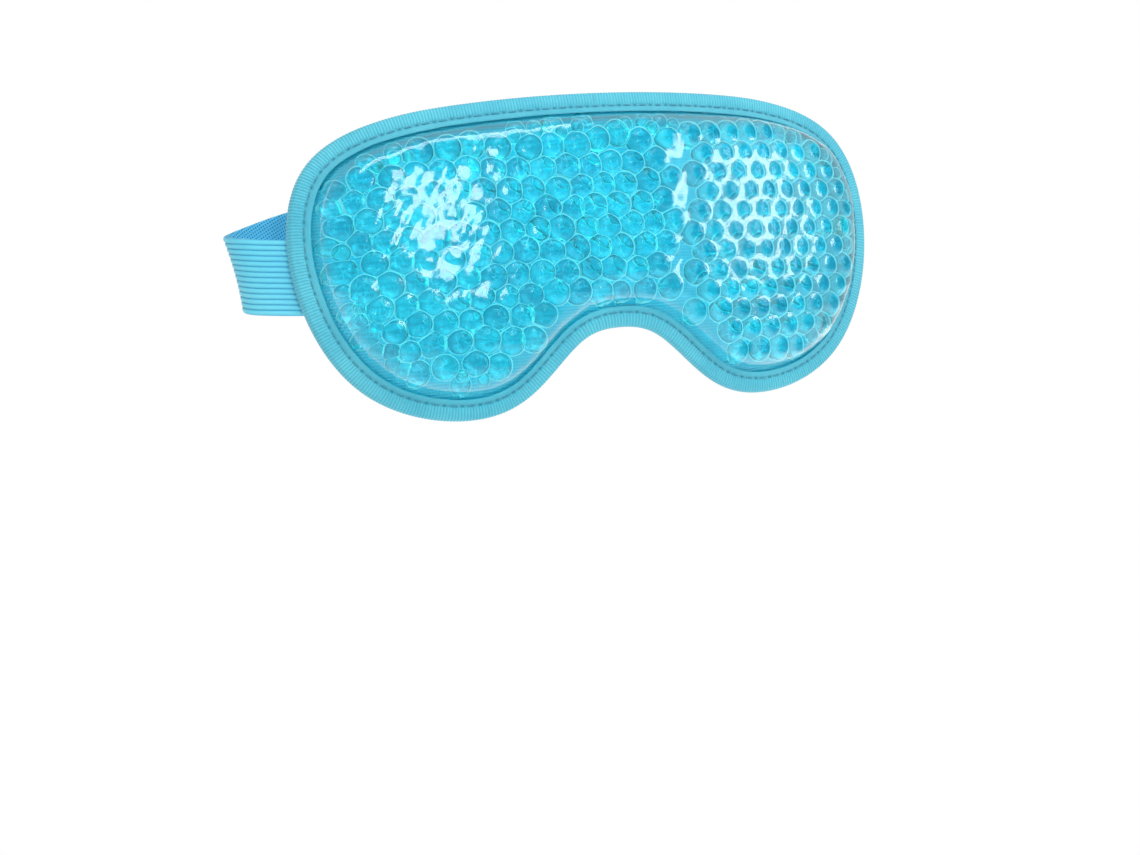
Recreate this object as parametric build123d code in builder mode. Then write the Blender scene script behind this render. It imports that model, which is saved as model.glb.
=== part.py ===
from build123d import *
import math
import os

import numpy as np

os.makedirs("parts", exist_ok=True)

# Gel-bead eye pillow: a curved mask of beads sealed between two clear films, on a ribbed
# cloth back, edged with a folded binding tape, and worn with an elastic strap that closes
# with hook and loop at the back. Millimetres. +X to the wearer's left as seen from the
# front, -Y out of the front face, +Z up. The origin is the centre of the face side.

# ---------------------------------------------------------------- driving dimensions
HALF_OUTLINE = [  # right half of the edge, from the top centre round to the nose arch
    (0.0, 53.6), (27.5, 53.1), (51.8, 51.7), (72.5, 48.8), (98.3, 36.7), (108.0, 3.7),
    (88.6, -41.3), (50.1, -53.6), (29.5, -44.5), (13.0, -30.2), (0.0, -27.3),
]
R = 330.0  # radius of the curved face side

BACK_T = 1.2  # cloth back
FILM_T = 0.6  # films
GAP = 0.05  # between layers that lie on each other
TAPE_T = 0.7  # binding tape
TAPE_W = 7.0  # width of the tape on each face
EDGE_GAP = 0.3  # between the sheets' edges and the fold of the tape
WELD_IN = 8.2  # weld line of the two films, inside the edge
PILLOW_H = 11.0  # how far the front film stands off its weld line
CROWN_R = 9.6  # radius of its shoulder

BEAD_D = 8.0  # large beads, in front
BEAD_PITCH = 8.35
BEAD_PITCH_TIDY = 7.75  # where they lie in neat rows
SMALL_D = 5.7  # small beads, in the hollows behind
EDGE_BEAD_D = 6.2  # largest of the beads that fill the margin

STITCH_IN = 4.9  # running stitch, inside the edge
STITCH_PITCH = 6.0
STITCH_LEN = 3.3
THREAD_D = 0.5

STRAP_W = 25.0
STRAP_T = 1.4
PATCH_W = 22.0
PATCH_T = 1.2
TAB_W = 23.0
TAB_T = 1.2
TAB_LAP = 10.0
CLOSURE_Y = 48.0  # middle of the right strap at the closure
CLOSURE_Z = 18.6

# radial heights of the layers over the face side
T_BACK = (0.0, BACK_T)
T_REAR = (BACK_T + GAP, BACK_T + GAP + FILM_T)
T_FRONT0 = T_REAR[1] + GAP  # inside of the front film at its flat rim
T_TAPE = (-TAPE_T - 0.12, T_FRONT0 + FILM_T + 0.12 + TAPE_T)


# ---------------------------------------------------------------- outline
def closed_spline(points, n):
    """n points, evenly spaced, on the periodic cubic spline through points."""
    p = np.array(points, float)
    m = len(p)
    h = np.sqrt(np.linalg.norm(np.roll(p, -1, axis=0) - p, axis=1))
    a = np.zeros((m, m))
    b = np.zeros((m, 2))
    for i in range(m):
        before, after = h[i - 1], h[i]
        a[i, i - 1] += before
        a[i, i] += 2 * (before + after)
        a[i, (i + 1) % m] += after
        b[i] = 6 * ((p[(i + 1) % m] - p[i]) / after - (p[i] - p[i - 1]) / before)
    second = np.linalg.solve(a, b)
    out = []
    for i in range(m):
        j, w = (i + 1) % m, h[i]
        for s in np.linspace(0, 1, 60, endpoint=False):
            u, v = (1 - s) * w, s * w
            out.append(
                second[i] * u**3 / (6 * w) + second[j] * v**3 / (6 * w)
                + (p[i] / w - second[i] * w / 6) * u + (p[j] / w - second[j] * w / 6) * v
            )
    return evenly(np.array(out), n)


def evenly(loop, n):
    """n points at even distances round a closed line."""
    ring = np.vstack([loop, loop[:1]])
    along = np.r_[0, np.cumsum(np.linalg.norm(np.diff(ring, axis=0), axis=1))]
    at = np.linspace(0, along[-1], n, endpoint=False)
    return np.c_[np.interp(at, along, ring[:, 0]), np.interp(at, along, ring[:, 1])]


def length_of(loop):
    return float(np.linalg.norm(np.roll(loop, -1, axis=0) - loop, axis=1).sum())


full = HALF_OUTLINE + [(-x, z) for x, z in HALF_OUTLINE[-2:0:-1]]
EDGE = closed_spline(full, 720)
tangent = np.roll(EDGE, -3, axis=0) - np.roll(EDGE, 3, axis=0)
tangent /= np.linalg.norm(tangent, axis=1)[:, None]
area = 0.5 * np.sum(EDGE[:, 0] * np.roll(EDGE[:, 1], -1) - np.roll(EDGE[:, 0], -1) * EDGE[:, 1])
INWARD = np.c_[-tangent[:, 1], tangent[:, 0]] * (1 if area > 0 else -1)


def inset(d, n):
    """n points on the edge moved inwards by d."""
    return evenly(EDGE + INWARD * d, n)


def edge_points(d, n=52):
    return [(float(x), float(z)) for x, z in inset(d, n)]


# ---------------------------------------------------------------- curved sheet heights
def place(x, z, t):
    """The point t in front of the face side, over (x, z) of it."""
    y = -math.sqrt(R * R - x * x - z * z)
    k = (R + t) / R
    return Vector(x * k, R + y * k, z * k)


def straight_over(x, z, t):
    """The point t in front of the face side, straight in front of (x, z)."""
    return Vector(x, R - math.sqrt((R + t) ** 2 - x * x - z * z), z)


def inside(points, loop):
    """Which points are inside a closed line."""
    a, b = loop, np.roll(loop, -1, axis=0)
    x, z = points[:, 0][:, None], points[:, 1][:, None]
    crosses = (a[:, 1] > z) != (b[:, 1] > z)
    with np.errstate(divide="ignore", invalid="ignore"):
        at = a[:, 0] + (z - a[:, 1]) * (b[:, 0] - a[:, 0]) / (b[:, 1] - a[:, 1])
    return (np.sum(crosses & (x < at), axis=1) % 2) == 1


def depth_in(points, loop):
    """How far inside a closed line each point is, and negative outside it."""
    a, b = loop, np.roll(loop, -1, axis=0)
    d = b - a
    best = np.full(len(points), np.inf)
    for i in range(len(a)):
        t = np.clip(((points - a[i]) @ d[i]) / max(d[i] @ d[i], 1e-12), 0, 1)
        best = np.minimum(best, np.linalg.norm(points - a[i] - t[:, None] * d[i], axis=1))
    return np.where(inside(points, loop), best, -best)


WALL = inset(WELD_IN + FILM_T, 240)  # inside of the pouch's wall


def room(d, t):
    """How far a point d inside the wall, and t over the face side, is from the front film."""
    top = T_FRONT0 + PILLOW_H
    if d < CROWN_R and t > top - CROWN_R:
        return CROWN_R - math.hypot(CROWN_R - d, t - (top - CROWN_R))
    return min(d, top - t)


BALL = Location((0, R, 0))

# ---------------------------------------------------------------- cloth back
with BuildPart() as backing_cloth:
    with BuildSketch(Plane.XZ):
        with BuildLine():
            Spline(*edge_points(TAPE_T + EDGE_GAP), periodic=True)
        make_face()
    extrude(amount=60, both=True)
    with Locations(BALL):
        Sphere(R + T_BACK[1], mode=Mode.INTERSECT)
        Sphere(R + T_BACK[0], mode=Mode.SUBTRACT)

# ---------------------------------------------------------------- rear film, flat against the cloth
with BuildPart() as rear_film:
    with BuildSketch(Plane.XZ):
        with BuildLine():
            Spline(*edge_points(TAPE_T + EDGE_GAP), periodic=True)
        make_face()
    extrude(amount=60, both=True)
    with Locations(BALL):
        Sphere(R + T_REAR[1], mode=Mode.INTERSECT)
        Sphere(R + T_REAR[0], mode=Mode.SUBTRACT)

# ---------------------------------------------------------------- front film, crowned over the beads
with BuildPart(mode=Mode.PRIVATE) as crown:
    with BuildSketch(Plane.XZ):
        with BuildLine():
            Spline(*edge_points(WELD_IN, 40), periodic=True)
        make_face()
    extrude(amount=60, both=True)
    with Locations(BALL):
        Sphere(R + T_FRONT0 + PILLOW_H + FILM_T, mode=Mode.INTERSECT)
        Sphere(R + T_FRONT0 + FILM_T / 2, mode=Mode.SUBTRACT)
    fillet(crown.edges().sort_by(lambda e: e.center().Y)[0], CROWN_R + FILM_T)

with BuildPart(mode=Mode.PRIVATE) as pouch:
    with BuildSketch(Plane.XZ):
        with BuildLine():
            Spline(*edge_points(WELD_IN + FILM_T, 40), periodic=True)
        make_face()
    extrude(amount=60, both=True)
    with Locations(BALL):
        Sphere(R + T_FRONT0 + PILLOW_H, mode=Mode.INTERSECT)
        Sphere(R + T_FRONT0 - 0.5, mode=Mode.SUBTRACT)
    fillet(pouch.edges().sort_by(lambda e: e.center().Y)[0], CROWN_R)

with BuildPart() as front_film:
    with BuildSketch(Plane.XZ):
        with BuildLine():
            Spline(*edge_points(TAPE_T + EDGE_GAP), periodic=True)
        make_face()
    extrude(amount=60, both=True)
    with Locations(BALL):
        Sphere(R + T_FRONT0 + FILM_T, mode=Mode.INTERSECT)
        Sphere(R + T_FRONT0, mode=Mode.SUBTRACT)
    add(crown.part)
    add(pouch.part, mode=Mode.SUBTRACT)

# ---------------------------------------------------------------- binding tape, folded over the edge
with BuildPart(mode=Mode.PRIVATE) as tape_inside:
    with BuildSketch(Plane.XZ):
        with BuildLine():
            Spline(*edge_points(TAPE_T), periodic=True)
        make_face()
    extrude(amount=60, both=True)
    with Locations(BALL):
        Sphere(R + T_TAPE[1] - TAPE_T, mode=Mode.INTERSECT)
        Sphere(R + T_TAPE[0] + TAPE_T, mode=Mode.SUBTRACT)

with BuildPart() as binding_tape:
    with BuildSketch(Plane.XZ):
        with BuildLine():
            Spline(*edge_points(0.0, 52), periodic=True)
        make_face()
        with BuildLine():
            Spline(*edge_points(TAPE_W), periodic=True)
        make_face(mode=Mode.SUBTRACT)
    extrude(amount=60, both=True)
    with Locations(BALL):
        Sphere(R + T_TAPE[1], mode=Mode.INTERSECT)
        Sphere(R + T_TAPE[0], mode=Mode.SUBTRACT)
    add(tape_inside.part, mode=Mode.SUBTRACT)

# ---------------------------------------------------------------- running stitch round the tape
stitch_line = inset(STITCH_IN, 2400)
stitch_count = int(round(length_of(stitch_line) / STITCH_PITCH))
with BuildPart() as binding_stitches:
    for i in range(stitch_count):
        k = int(round(i * 2400 / stitch_count)) % 2400
        x, z = stitch_line[k]
        nx, nz = stitch_line[(k + 6) % 2400]
        here = place(x, z, T_TAPE[1] + THREAD_D / 2 + 0.03)
        there = place(nx, nz, T_TAPE[1] + THREAD_D / 2 + 0.03)
        with BuildSketch(Plane(origin=here, z_dir=there - here)):
            Circle(THREAD_D / 2)
        extrude(amount=STITCH_LEN / 2, both=True)

# ---------------------------------------------------------------- beads
rng = np.random.default_rng(7)


def lattice():
    """Bead places over the pouch: neat rows in the right lobe, jostled elsewhere."""
    spots, tidy = [], []
    row = 0
    z = -58.0
    while z < 60:  # the neat patch
        for col in range(-1, 14):
            x = 32.0 + (col + 0.5 * (row % 2)) * BEAD_PITCH_TIDY
            spots.append((x, z))
            tidy.append(True)
        z += BEAD_PITCH_TIDY * 0.866
        row += 1
    spots, tidy = np.array(spots), np.array(tidy)
    keep = (spots[:, 0] > 27 + 0.10 * spots[:, 1]) & (spots[:, 0] < 92)
    spots, tidy = spots[keep], tidy[keep]
    other, row, z = [], 0, -58.0
    while z < 60:
        for col in range(-16, 16):
            x = (col + 0.5 * (row % 2)) * BEAD_PITCH
            if (x < 20.5 + 0.10 * z) or x > 98.5:
                other.append((x + rng.normal(0, 0.7), z + rng.normal(0, 0.7)))
        z += BEAD_PITCH * 0.866
        row += 1
    spots = np.vstack([spots, other])
    tidy = np.r_[tidy, np.zeros(len(other), bool)]
    return spots, tidy


def settle(spots, fixed, pitch, clear, rounds=160):
    """Pushes neighbours apart and keeps the places inside the pouch."""
    field = inset(WELD_IN + clear, 180)
    p = spots[depth_in(spots, field) > -1.6]
    hold = fixed[depth_in(spots, field) > -1.6]
    for _ in range(rounds):
        d = p[:, None] - p[None]
        r = np.linalg.norm(d, axis=2) + np.eye(len(p)) * 99
        push = np.maximum(pitch - r, 0)[:, :, None] * d / r[:, :, None]
        move = 0.35 * push.sum(axis=1)
        move[hold] *= 0.03
        p = p + np.clip(move, -1, 1)
        out = depth_in(p, field)
        near = out < 0
        if near.any():
            a = field
            for i in np.nonzero(near)[0]:
                q = a[np.argmin(np.linalg.norm(a - p[i], axis=1))]
                p[i] = q + (p[i] - q) * 0.02
    return p, hold


front_xz, neat = settle(*lattice(), BEAD_PITCH - 0.15, FILM_T + 3.0)


def bead(x, z, d, r, least, front=True):
    """Centre and radius of the largest bead up to r that fits at (x, z), against one film."""
    while r >= least:
        low, high = T_REAR[1] + 0.15 + r, T_FRONT0 + PILLOW_H - 0.25 - r
        steps = np.arange(high, low - 1e-6, -0.2) if front else [low]
        for t in steps:
            if room(d, t) >= r + 0.35:
                return np.array(tuple(straight_over(float(x), float(z), float(t)))), r
        r -= 0.1
    return None


def part_touching(c, r):
    """Shrinks beads that touch until all are 0.1 apart."""
    between = np.linalg.norm(c[:, None] - c[None], axis=2) + np.eye(len(c)) * 99
    for _ in range(60):
        worst = (r[:, None] + r[None] + 0.10 - between).max(axis=1)
        r = np.where(worst > 0, r - worst * 0.52, r)
    return r


big = []
for (x, z), d in zip(front_xz, depth_in(front_xz, WALL)):
    got = bead(x, z, d, BEAD_D / 2 * (1 + rng.uniform(-0.06, 0.04)), 2.5)
    if got:
        big.append(got)
big_c = np.array([c for c, r in big])
big_r = part_touching(big_c, np.array([r for c, r in big]))
big_c, big_r = big_c[big_r > 2.4], big_r[big_r > 2.4]

# small beads in the hollows behind the large ones
tri = []
flat = big_c[:, [0, 2]]
for i in range(len(flat)):
    d = np.linalg.norm(flat - flat[i], axis=1)
    near = [j for j in np.argsort(d)[1:7] if d[j] < BEAD_PITCH * 1.25]
    for a in range(len(near)):
        for b in range(a + 1, len(near)):
            j, k = near[a], near[b]
            if i < j and i < k and np.linalg.norm(flat[j] - flat[k]) < BEAD_PITCH * 1.25:
                tri.append((flat[i] + flat[j] + flat[k]) / 3)
small = []
for q in tri:
    if all(np.linalg.norm(q - s) > SMALL_D + 0.5 for s in small):
        small.append(q)
small = np.array(small)
small_found = []
for (x, z), d in zip(small, depth_in(small, WALL)):
    r = SMALL_D / 2 * (1 + rng.uniform(-0.06, 0.03))
    while r > 1.8:
        got = bead(x, z, d, r, 1.8, front=False)
        if got is None:
            break
        c, r = got
        if (np.linalg.norm(big_c - c, axis=1) - big_r - 0.1).min() >= r:
            small_found.append((c, r))
            break
        r -= 0.1
small_c = np.array([c for c, r in small_found])
small_r = part_touching(small_c, np.array([r for c, r in small_found]))

# smaller beads in the narrow margin between the large ones and the wall, but not over the nose
edge_c, edge_r = np.zeros((0, 3)), np.zeros(0)
for clear in (7.0, 5.6, 4.4, 3.4):
    ring = inset(WELD_IN + FILM_T + clear, 230)
    for (x, z), d in zip(ring, depth_in(ring, WALL)):
        if abs(x) < 46 and z < 0:
            continue
        r = EDGE_BEAD_D / 2
        while r >= 1.7:
            got = bead(x, z, d, r, 1.7)
            if got is None:
                break
            c, r = got
            space = min(
                (np.linalg.norm(np.vstack([big_c, edge_c]) - c, axis=1) - np.r_[big_r, edge_r]).min(),
                (np.linalg.norm(small_c - c, axis=1) - small_r).min(),
            ) - 0.12
            if space >= r:
                edge_c, edge_r = np.vstack([edge_c, c]), np.r_[edge_r, r]
                break
            r = min(r - 0.1, space)
big_c, big_r = np.vstack([big_c, edge_c]), np.r_[big_r, edge_r]

with BuildPart() as gel_beads_front:
    for c, r in zip(big_c, big_r):
        with Locations(Location(tuple(float(v) for v in c))):
            Sphere(float(r))

with BuildPart() as gel_beads_rear:
    for c, r in zip(small_c, small_r):
        with Locations(Location(tuple(float(v) for v in c))):
            Sphere(float(r))

# ---------------------------------------------------------------- elastic strap
# Middle line of each half, the right one mirrored: x, y, z, and how far the top leans
# outwards, in degrees. It leaves the back of the edge, turns back on itself in a rounded loop, and rises to
# run behind the mask.
LEFT_LINE = [
    (-95.0, 16.1, -1.6, 0), (-104.0, 19.15, -1.0, 0), (-111.5, 22.2, -0.1, 1),
    (-117.4, 25.6, 0.9, 4), (-120.9, 30.4, 2.3, 8), (-121.2, 36.2, 3.9, 10),
    (-117.6, 41.2, 5.9, 9), (-110.5, 44.4, 8.4, 6), (-99.5, 46.1, 11.7, 3),
    (-80.0, 47.2, 15.6, 0), (-55.0, 47.8, 18.0, 0), (-36.0, 48.0, CLOSURE_Z, 0),
]
# The right half turns back closer to the edge.
RIGHT_LINE = [
    (-95.0, 16.1, -1.6, 0), (-102.0, 18.5, -1.1, 0), (-107.6, 21.8, -0.3, 0),
    (-110.8, 26.8, 1.0, 2), (-111.4, 32.8, 2.6, 4), (-109.0, 38.6, 4.4, 5),
    (-103.4, 42.8, 6.6, 4), (-95.0, 45.2, 9.4, 2), (-80.0, 46.8, 13.2, 0),
    (-58.0, 47.6, 17.0, 0), (-36.0, 48.0, CLOSURE_Z, 0),
]


def strap_planes(side, end_x, end_y):
    """Section planes along one strap, from its sewn end to end_x at the closure."""
    line = np.array((LEFT_LINE if side < 0 else RIGHT_LINE) + [((end_x if side < 0 else -end_x), 48.0, CLOSURE_Z, 0)], float)
    # the last stretch eases over to the closure's own depth
    line[-2:, 1] = end_y
    line[-3, 1] = (line[-3, 1] + end_y) / 2
    h = np.sqrt(np.linalg.norm(np.diff(line[:, :3], axis=0), axis=1))
    s = np.r_[0, np.cumsum(h)]
    m = len(line)
    a, b = np.zeros((m, m)), np.zeros((m, 4))
    a[0, 0] = a[-1, -1] = 1
    for i in range(1, m - 1):
        a[i, i - 1], a[i, i], a[i, i + 1] = h[i - 1], 2 * (h[i - 1] + h[i]), h[i]
        b[i] = 6 * ((line[i + 1] - line[i]) / h[i] - (line[i] - line[i - 1]) / h[i - 1])
    second = np.linalg.solve(a, b)
    dense = []
    for i in range(m - 1):
        for t in np.linspace(0, 1, 30, endpoint=False):
            u, v, w = (1 - t) * h[i], t * h[i], h[i]
            dense.append(
                second[i] * u**3 / (6 * w) + second[i + 1] * v**3 / (6 * w)
                + (line[i] / w - second[i] * w / 6) * u
                + (line[i + 1] / w - second[i + 1] * w / 6) * v
            )
    dense = np.array(dense + [line[-1]])
    along = np.r_[0, np.cumsum(np.linalg.norm(np.diff(dense[:, :3], axis=0), axis=1))]
    n = max(12, int(along[-1] / 4.2))
    at = np.linspace(0, along[-1], n + 1)
    p = np.stack([np.interp(at, along, dense[:, k]) for k in range(4)], axis=1)
    run = np.gradient(p[:, :3], axis=0)
    run /= np.linalg.norm(run, axis=1)[:, None]
    planes = []
    for q, t in zip(p, run):
        w = np.array([0, 0, 1.0]) - t[2] * t
        w /= np.linalg.norm(w)
        nrm = np.cross(t, w)
        a_ = math.radians(q[3])
        w = w * math.cos(a_) + (nrm if nrm[0] < 0 or abs(q[3]) < 1e-9 else -nrm) * math.sin(a_)
        o, zd = q[:3].copy(), t.copy()
        if side > 0:
            o[0], zd[0], w[0] = -o[0], -zd[0], -w[0]
        planes.append(Plane(origin=tuple(o), x_dir=tuple(w), z_dir=tuple(zd)))
    return planes, float(along[-1])


left_planes, left_length = strap_planes(-1, -23.5, CLOSURE_Y + STRAP_T + 0.1)
right_planes, right_length = strap_planes(1, -21.0, CLOSURE_Y)
with BuildPart() as strap_left:
    for pl in left_planes:
        with BuildSketch(pl):
            Rectangle(STRAP_W, STRAP_T)
    loft(ruled=True)

with BuildPart() as strap_right:
    for pl in right_planes:
        with BuildSketch(pl):
            Rectangle(STRAP_W, STRAP_T)
    loft(ruled=True)

# ---------------------------------------------------------------- stitching of the strap's sewn ends
def sewn_end(side):
    """Places along two zigzag rows on the strap's sewn end, on its rear face."""
    rows = []
    for x0 in (97.0, 101.0):
        for j in range(9):
            rows.append((x0, -10.6 + j * 2.5))
    return rows


with BuildPart() as strap_end_stitches_left:
    for x0, dz in sewn_end(-1):
        y = np.interp(-x0, [-104.0, -95.0], [19.15, 16.1]) + STRAP_T / 2 + THREAD_D / 2 + 0.12
        with BuildSketch(Plane(origin=(-x0, float(y), -1.4 + dz), z_dir=(0.35, 0, 1))):
            Circle(THREAD_D / 2)
        extrude(amount=0.9, both=True)

with BuildPart() as strap_end_stitches_right:
    for x0, dz in sewn_end(1):
        y = np.interp(-x0, [-104.0, -95.0], [19.15, 16.1]) + STRAP_T / 2 + THREAD_D / 2 + 0.12
        with BuildSketch(Plane(origin=(x0, float(y), -1.4 + dz), z_dir=(-0.35, 0, 1))):
            Circle(THREAD_D / 2)
        extrude(amount=0.9, both=True)

# ---------------------------------------------------------------- hook and loop closure
PATCH_Y = CLOSURE_Y + STRAP_T / 2 + GAP
PATCH_X = (-19.0, 31.0)
with BuildPart() as loop_patch:
    with BuildSketch(Plane(origin=(0, PATCH_Y + PATCH_T, CLOSURE_Z), x_dir=(1, 0, 0), z_dir=(0, -1, 0))):
        with Locations(((PATCH_X[0] + PATCH_X[1]) / 2, 0)):
            RectangleRounded(PATCH_X[1] - PATCH_X[0], PATCH_W, 2.0)
    extrude(amount=PATCH_T)

TAB_Y = PATCH_Y + PATCH_T + 0.35
TAB_X = (-33.5, 22.0)
with BuildPart() as hook_tab:
    with BuildSketch(Plane(origin=(0, TAB_Y + TAB_T, CLOSURE_Z), x_dir=(1, 0, 0), z_dir=(0, -1, 0))):
        with Locations(((TAB_X[0] + TAB_X[1]) / 2, 0)):
            Rectangle(TAB_X[1] - TAB_X[0], TAB_W)
        fillet(vertices().sort_by(Axis.X)[-2:], 6.0)
    extrude(amount=TAB_T)

# rows of thread that hold the loop patch, on the inner face of the right strap
with BuildPart() as loop_patch_stitches:
    y = CLOSURE_Y - STRAP_T / 2 - THREAD_D / 2 - 0.05
    for x0 in np.arange(-15.0, 28.0, 4.0):
        for z0 in (-9.3, 9.3):
            with BuildSketch(Plane(origin=(float(x0), y, CLOSURE_Z + z0), z_dir=(1, 0, 0))):
                Circle(THREAD_D / 2)
            extrude(amount=1.3, both=True)
    for z0 in np.arange(-6.0, 6.1, 4.0):
        for x0 in (-17.4, 29.4):
            with BuildSketch(Plane(origin=(x0, y, CLOSURE_Z + float(z0)), z_dir=(0, 0, 1))):
                Circle(THREAD_D / 2)
            extrude(amount=1.3, both=True)

# rows of thread across the tab's lap, on its outer face
with BuildPart() as hook_tab_stitches:
    y = TAB_Y + TAB_T + THREAD_D / 2 + 0.05
    for x0 in (-31.6, -25.6):
        for z0 in np.arange(-9.0, 9.1, 3.6):
            with BuildSketch(Plane(origin=(x0, y, CLOSURE_Z + float(z0)), z_dir=(0, 0, 1))):
                Circle(THREAD_D / 2)
            extrude(amount=1.3, both=True)

# ---------------------------------------------------------------- write
pieces = {
    "backing_cloth": backing_cloth, "rear_film": rear_film, "front_film": front_film,
    "binding_tape": binding_tape, "binding_stitches": binding_stitches,
    "gel_beads_front": gel_beads_front, "gel_beads_rear": gel_beads_rear,
    "strap_left": strap_left, "strap_right": strap_right,
    "strap_end_stitches_left": strap_end_stitches_left,
    "strap_end_stitches_right": strap_end_stitches_right,
    "loop_patch": loop_patch, "hook_tab": hook_tab,
    "loop_patch_stitches": loop_patch_stitches, "hook_tab_stitches": hook_tab_stitches,
}
for name, piece in pieces.items():
    piece.part.label = name
    export_step(piece.part, f"parts/{name}.step")
print("large beads", len(big_r), "small beads", len(small_r), "stitches", stitch_count)
print("strap lengths", round(left_length, 1), round(right_length, 1), "tab y", TAB_Y, "patch y", PATCH_Y)
print("edge length", round(length_of(EDGE), 1), "mean bead", round(float(2 * big_r.mean()), 2))
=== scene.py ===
import math

import bmesh
import bpy
import numpy as np
from mathutils import Matrix, Vector


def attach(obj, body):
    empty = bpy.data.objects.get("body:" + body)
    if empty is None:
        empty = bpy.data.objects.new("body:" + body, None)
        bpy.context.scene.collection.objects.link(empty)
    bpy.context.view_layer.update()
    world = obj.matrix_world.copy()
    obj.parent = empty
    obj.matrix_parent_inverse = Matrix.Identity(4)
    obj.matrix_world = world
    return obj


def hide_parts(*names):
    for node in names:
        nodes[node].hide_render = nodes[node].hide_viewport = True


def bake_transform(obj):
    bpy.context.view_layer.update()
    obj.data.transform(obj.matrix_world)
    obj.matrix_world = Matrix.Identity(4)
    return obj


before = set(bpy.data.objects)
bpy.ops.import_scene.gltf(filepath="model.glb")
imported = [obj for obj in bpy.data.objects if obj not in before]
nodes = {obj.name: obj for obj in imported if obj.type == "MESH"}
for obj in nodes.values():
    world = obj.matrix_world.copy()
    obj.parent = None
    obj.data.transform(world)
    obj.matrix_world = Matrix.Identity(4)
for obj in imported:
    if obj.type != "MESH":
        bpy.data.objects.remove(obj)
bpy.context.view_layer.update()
rng = np.random.default_rng(11)
MM = 0.001

# ------------------------------------------------------------------ the design's own numbers (mm)
HALF_OUTLINE = [
    (0.0, 53.6), (27.5, 53.1), (51.8, 51.7), (72.5, 48.8), (98.3, 36.7), (108.0, 3.7),
    (88.6, -41.3), (50.1, -53.6), (29.5, -44.5), (13.0, -30.2), (0.0, -27.3),
]
R = 330.0
BACK_T, FILM_T, GAP, TAPE_T, TAPE_W = 1.2, 0.6, 0.05, 0.7, 7.0
WELD_IN, PILLOW_H, CROWN_R = 8.2, 11.0, 9.6
STITCH_IN, STITCH_PITCH = 4.9, 6.0
T_REAR1 = BACK_T + GAP + FILM_T
T_FRONT0 = T_REAR1 + GAP
T_TAPE = (-TAPE_T - 0.12, T_FRONT0 + FILM_T + 0.12 + TAPE_T)
STRAP_W, STRAP_T = 25.0, 1.4
CLOSURE_Y, CLOSURE_Z = 48.0, 18.6
LEFT_LINE = [
    (-95.0, 16.1, -1.6, 0), (-104.0, 19.15, -1.0, 0), (-111.5, 22.2, -0.1, 1),
    (-117.4, 25.6, 0.9, 4), (-120.9, 30.4, 2.3, 8), (-121.2, 36.2, 3.9, 10),
    (-117.6, 41.2, 5.9, 9), (-110.5, 44.4, 8.4, 6), (-99.5, 46.1, 11.7, 3),
    (-80.0, 47.2, 15.6, 0), (-55.0, 47.8, 18.0, 0), (-36.0, 48.0, CLOSURE_Z, 0),
]
RIGHT_LINE = [
    (-95.0, 16.1, -1.6, 0), (-102.0, 18.5, -1.1, 0), (-107.6, 21.8, -0.3, 0),
    (-110.8, 26.8, 1.0, 2), (-111.4, 32.8, 2.6, 4), (-109.0, 38.6, 4.4, 5),
    (-103.4, 42.8, 6.6, 4), (-95.0, 45.2, 9.4, 2), (-80.0, 46.8, 13.2, 0),
    (-58.0, 47.6, 17.0, 0), (-36.0, 48.0, CLOSURE_Z, 0),
]


# ------------------------------------------------------------------ outline
def evenly(loop, n):
    ring = np.vstack([loop, loop[:1]])
    along = np.r_[0, np.cumsum(np.linalg.norm(np.diff(ring, axis=0), axis=1))]
    at = np.linspace(0, along[-1], n, endpoint=False)
    return np.stack([np.interp(at, along, ring[:, k]) for k in range(ring.shape[1])], axis=1)


def closed_spline(points, n):
    p = np.array(points, float)
    m = len(p)
    h = np.sqrt(np.linalg.norm(np.roll(p, -1, axis=0) - p, axis=1))
    a, b = np.zeros((m, m)), np.zeros((m, 2))
    for i in range(m):
        before, after = h[i - 1], h[i]
        a[i, i - 1] += before
        a[i, i] += 2 * (before + after)
        a[i, (i + 1) % m] += after
        b[i] = 6 * ((p[(i + 1) % m] - p[i]) / after - (p[i] - p[i - 1]) / before)
    second = np.linalg.solve(a, b)
    out = []
    for i in range(m):
        j, w = (i + 1) % m, h[i]
        for s in np.linspace(0, 1, 60, endpoint=False):
            u, v = (1 - s) * w, s * w
            out.append(
                second[i] * u**3 / (6 * w) + second[j] * v**3 / (6 * w)
                + (p[i] / w - second[i] * w / 6) * u + (p[j] / w - second[j] * w / 6) * v
            )
    return evenly(np.array(out), n)


def length_of(loop):
    return float(np.linalg.norm(np.roll(loop, -1, axis=0) - loop, axis=1).sum())


EDGE = closed_spline(HALF_OUTLINE + [(-x, z) for x, z in HALF_OUTLINE[-2:0:-1]], 720)
_t = np.roll(EDGE, -3, axis=0) - np.roll(EDGE, 3, axis=0)
_t /= np.linalg.norm(_t, axis=1)[:, None]
_a = np.sum(EDGE[:, 0] * np.roll(EDGE[:, 1], -1) - np.roll(EDGE[:, 0], -1) * EDGE[:, 1])
INWARD = np.c_[-_t[:, 1], _t[:, 0]] * (1 if _a > 0 else -1)


def inset(d, n):
    return evenly(EDGE + INWARD * d, n)


def inside(points, loop):
    a, b = loop, np.roll(loop, -1, axis=0)
    out = np.zeros(len(points), bool)
    for i in range(len(a)):
        if a[i, 1] == b[i, 1]:
            continue
        hit = (a[i, 1] > points[:, 1]) != (b[i, 1] > points[:, 1])
        at = a[i, 0] + (points[:, 1] - a[i, 1]) * (b[i, 0] - a[i, 0]) / (b[i, 1] - a[i, 1])
        out ^= hit & (points[:, 0] < at)
    return out


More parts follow.
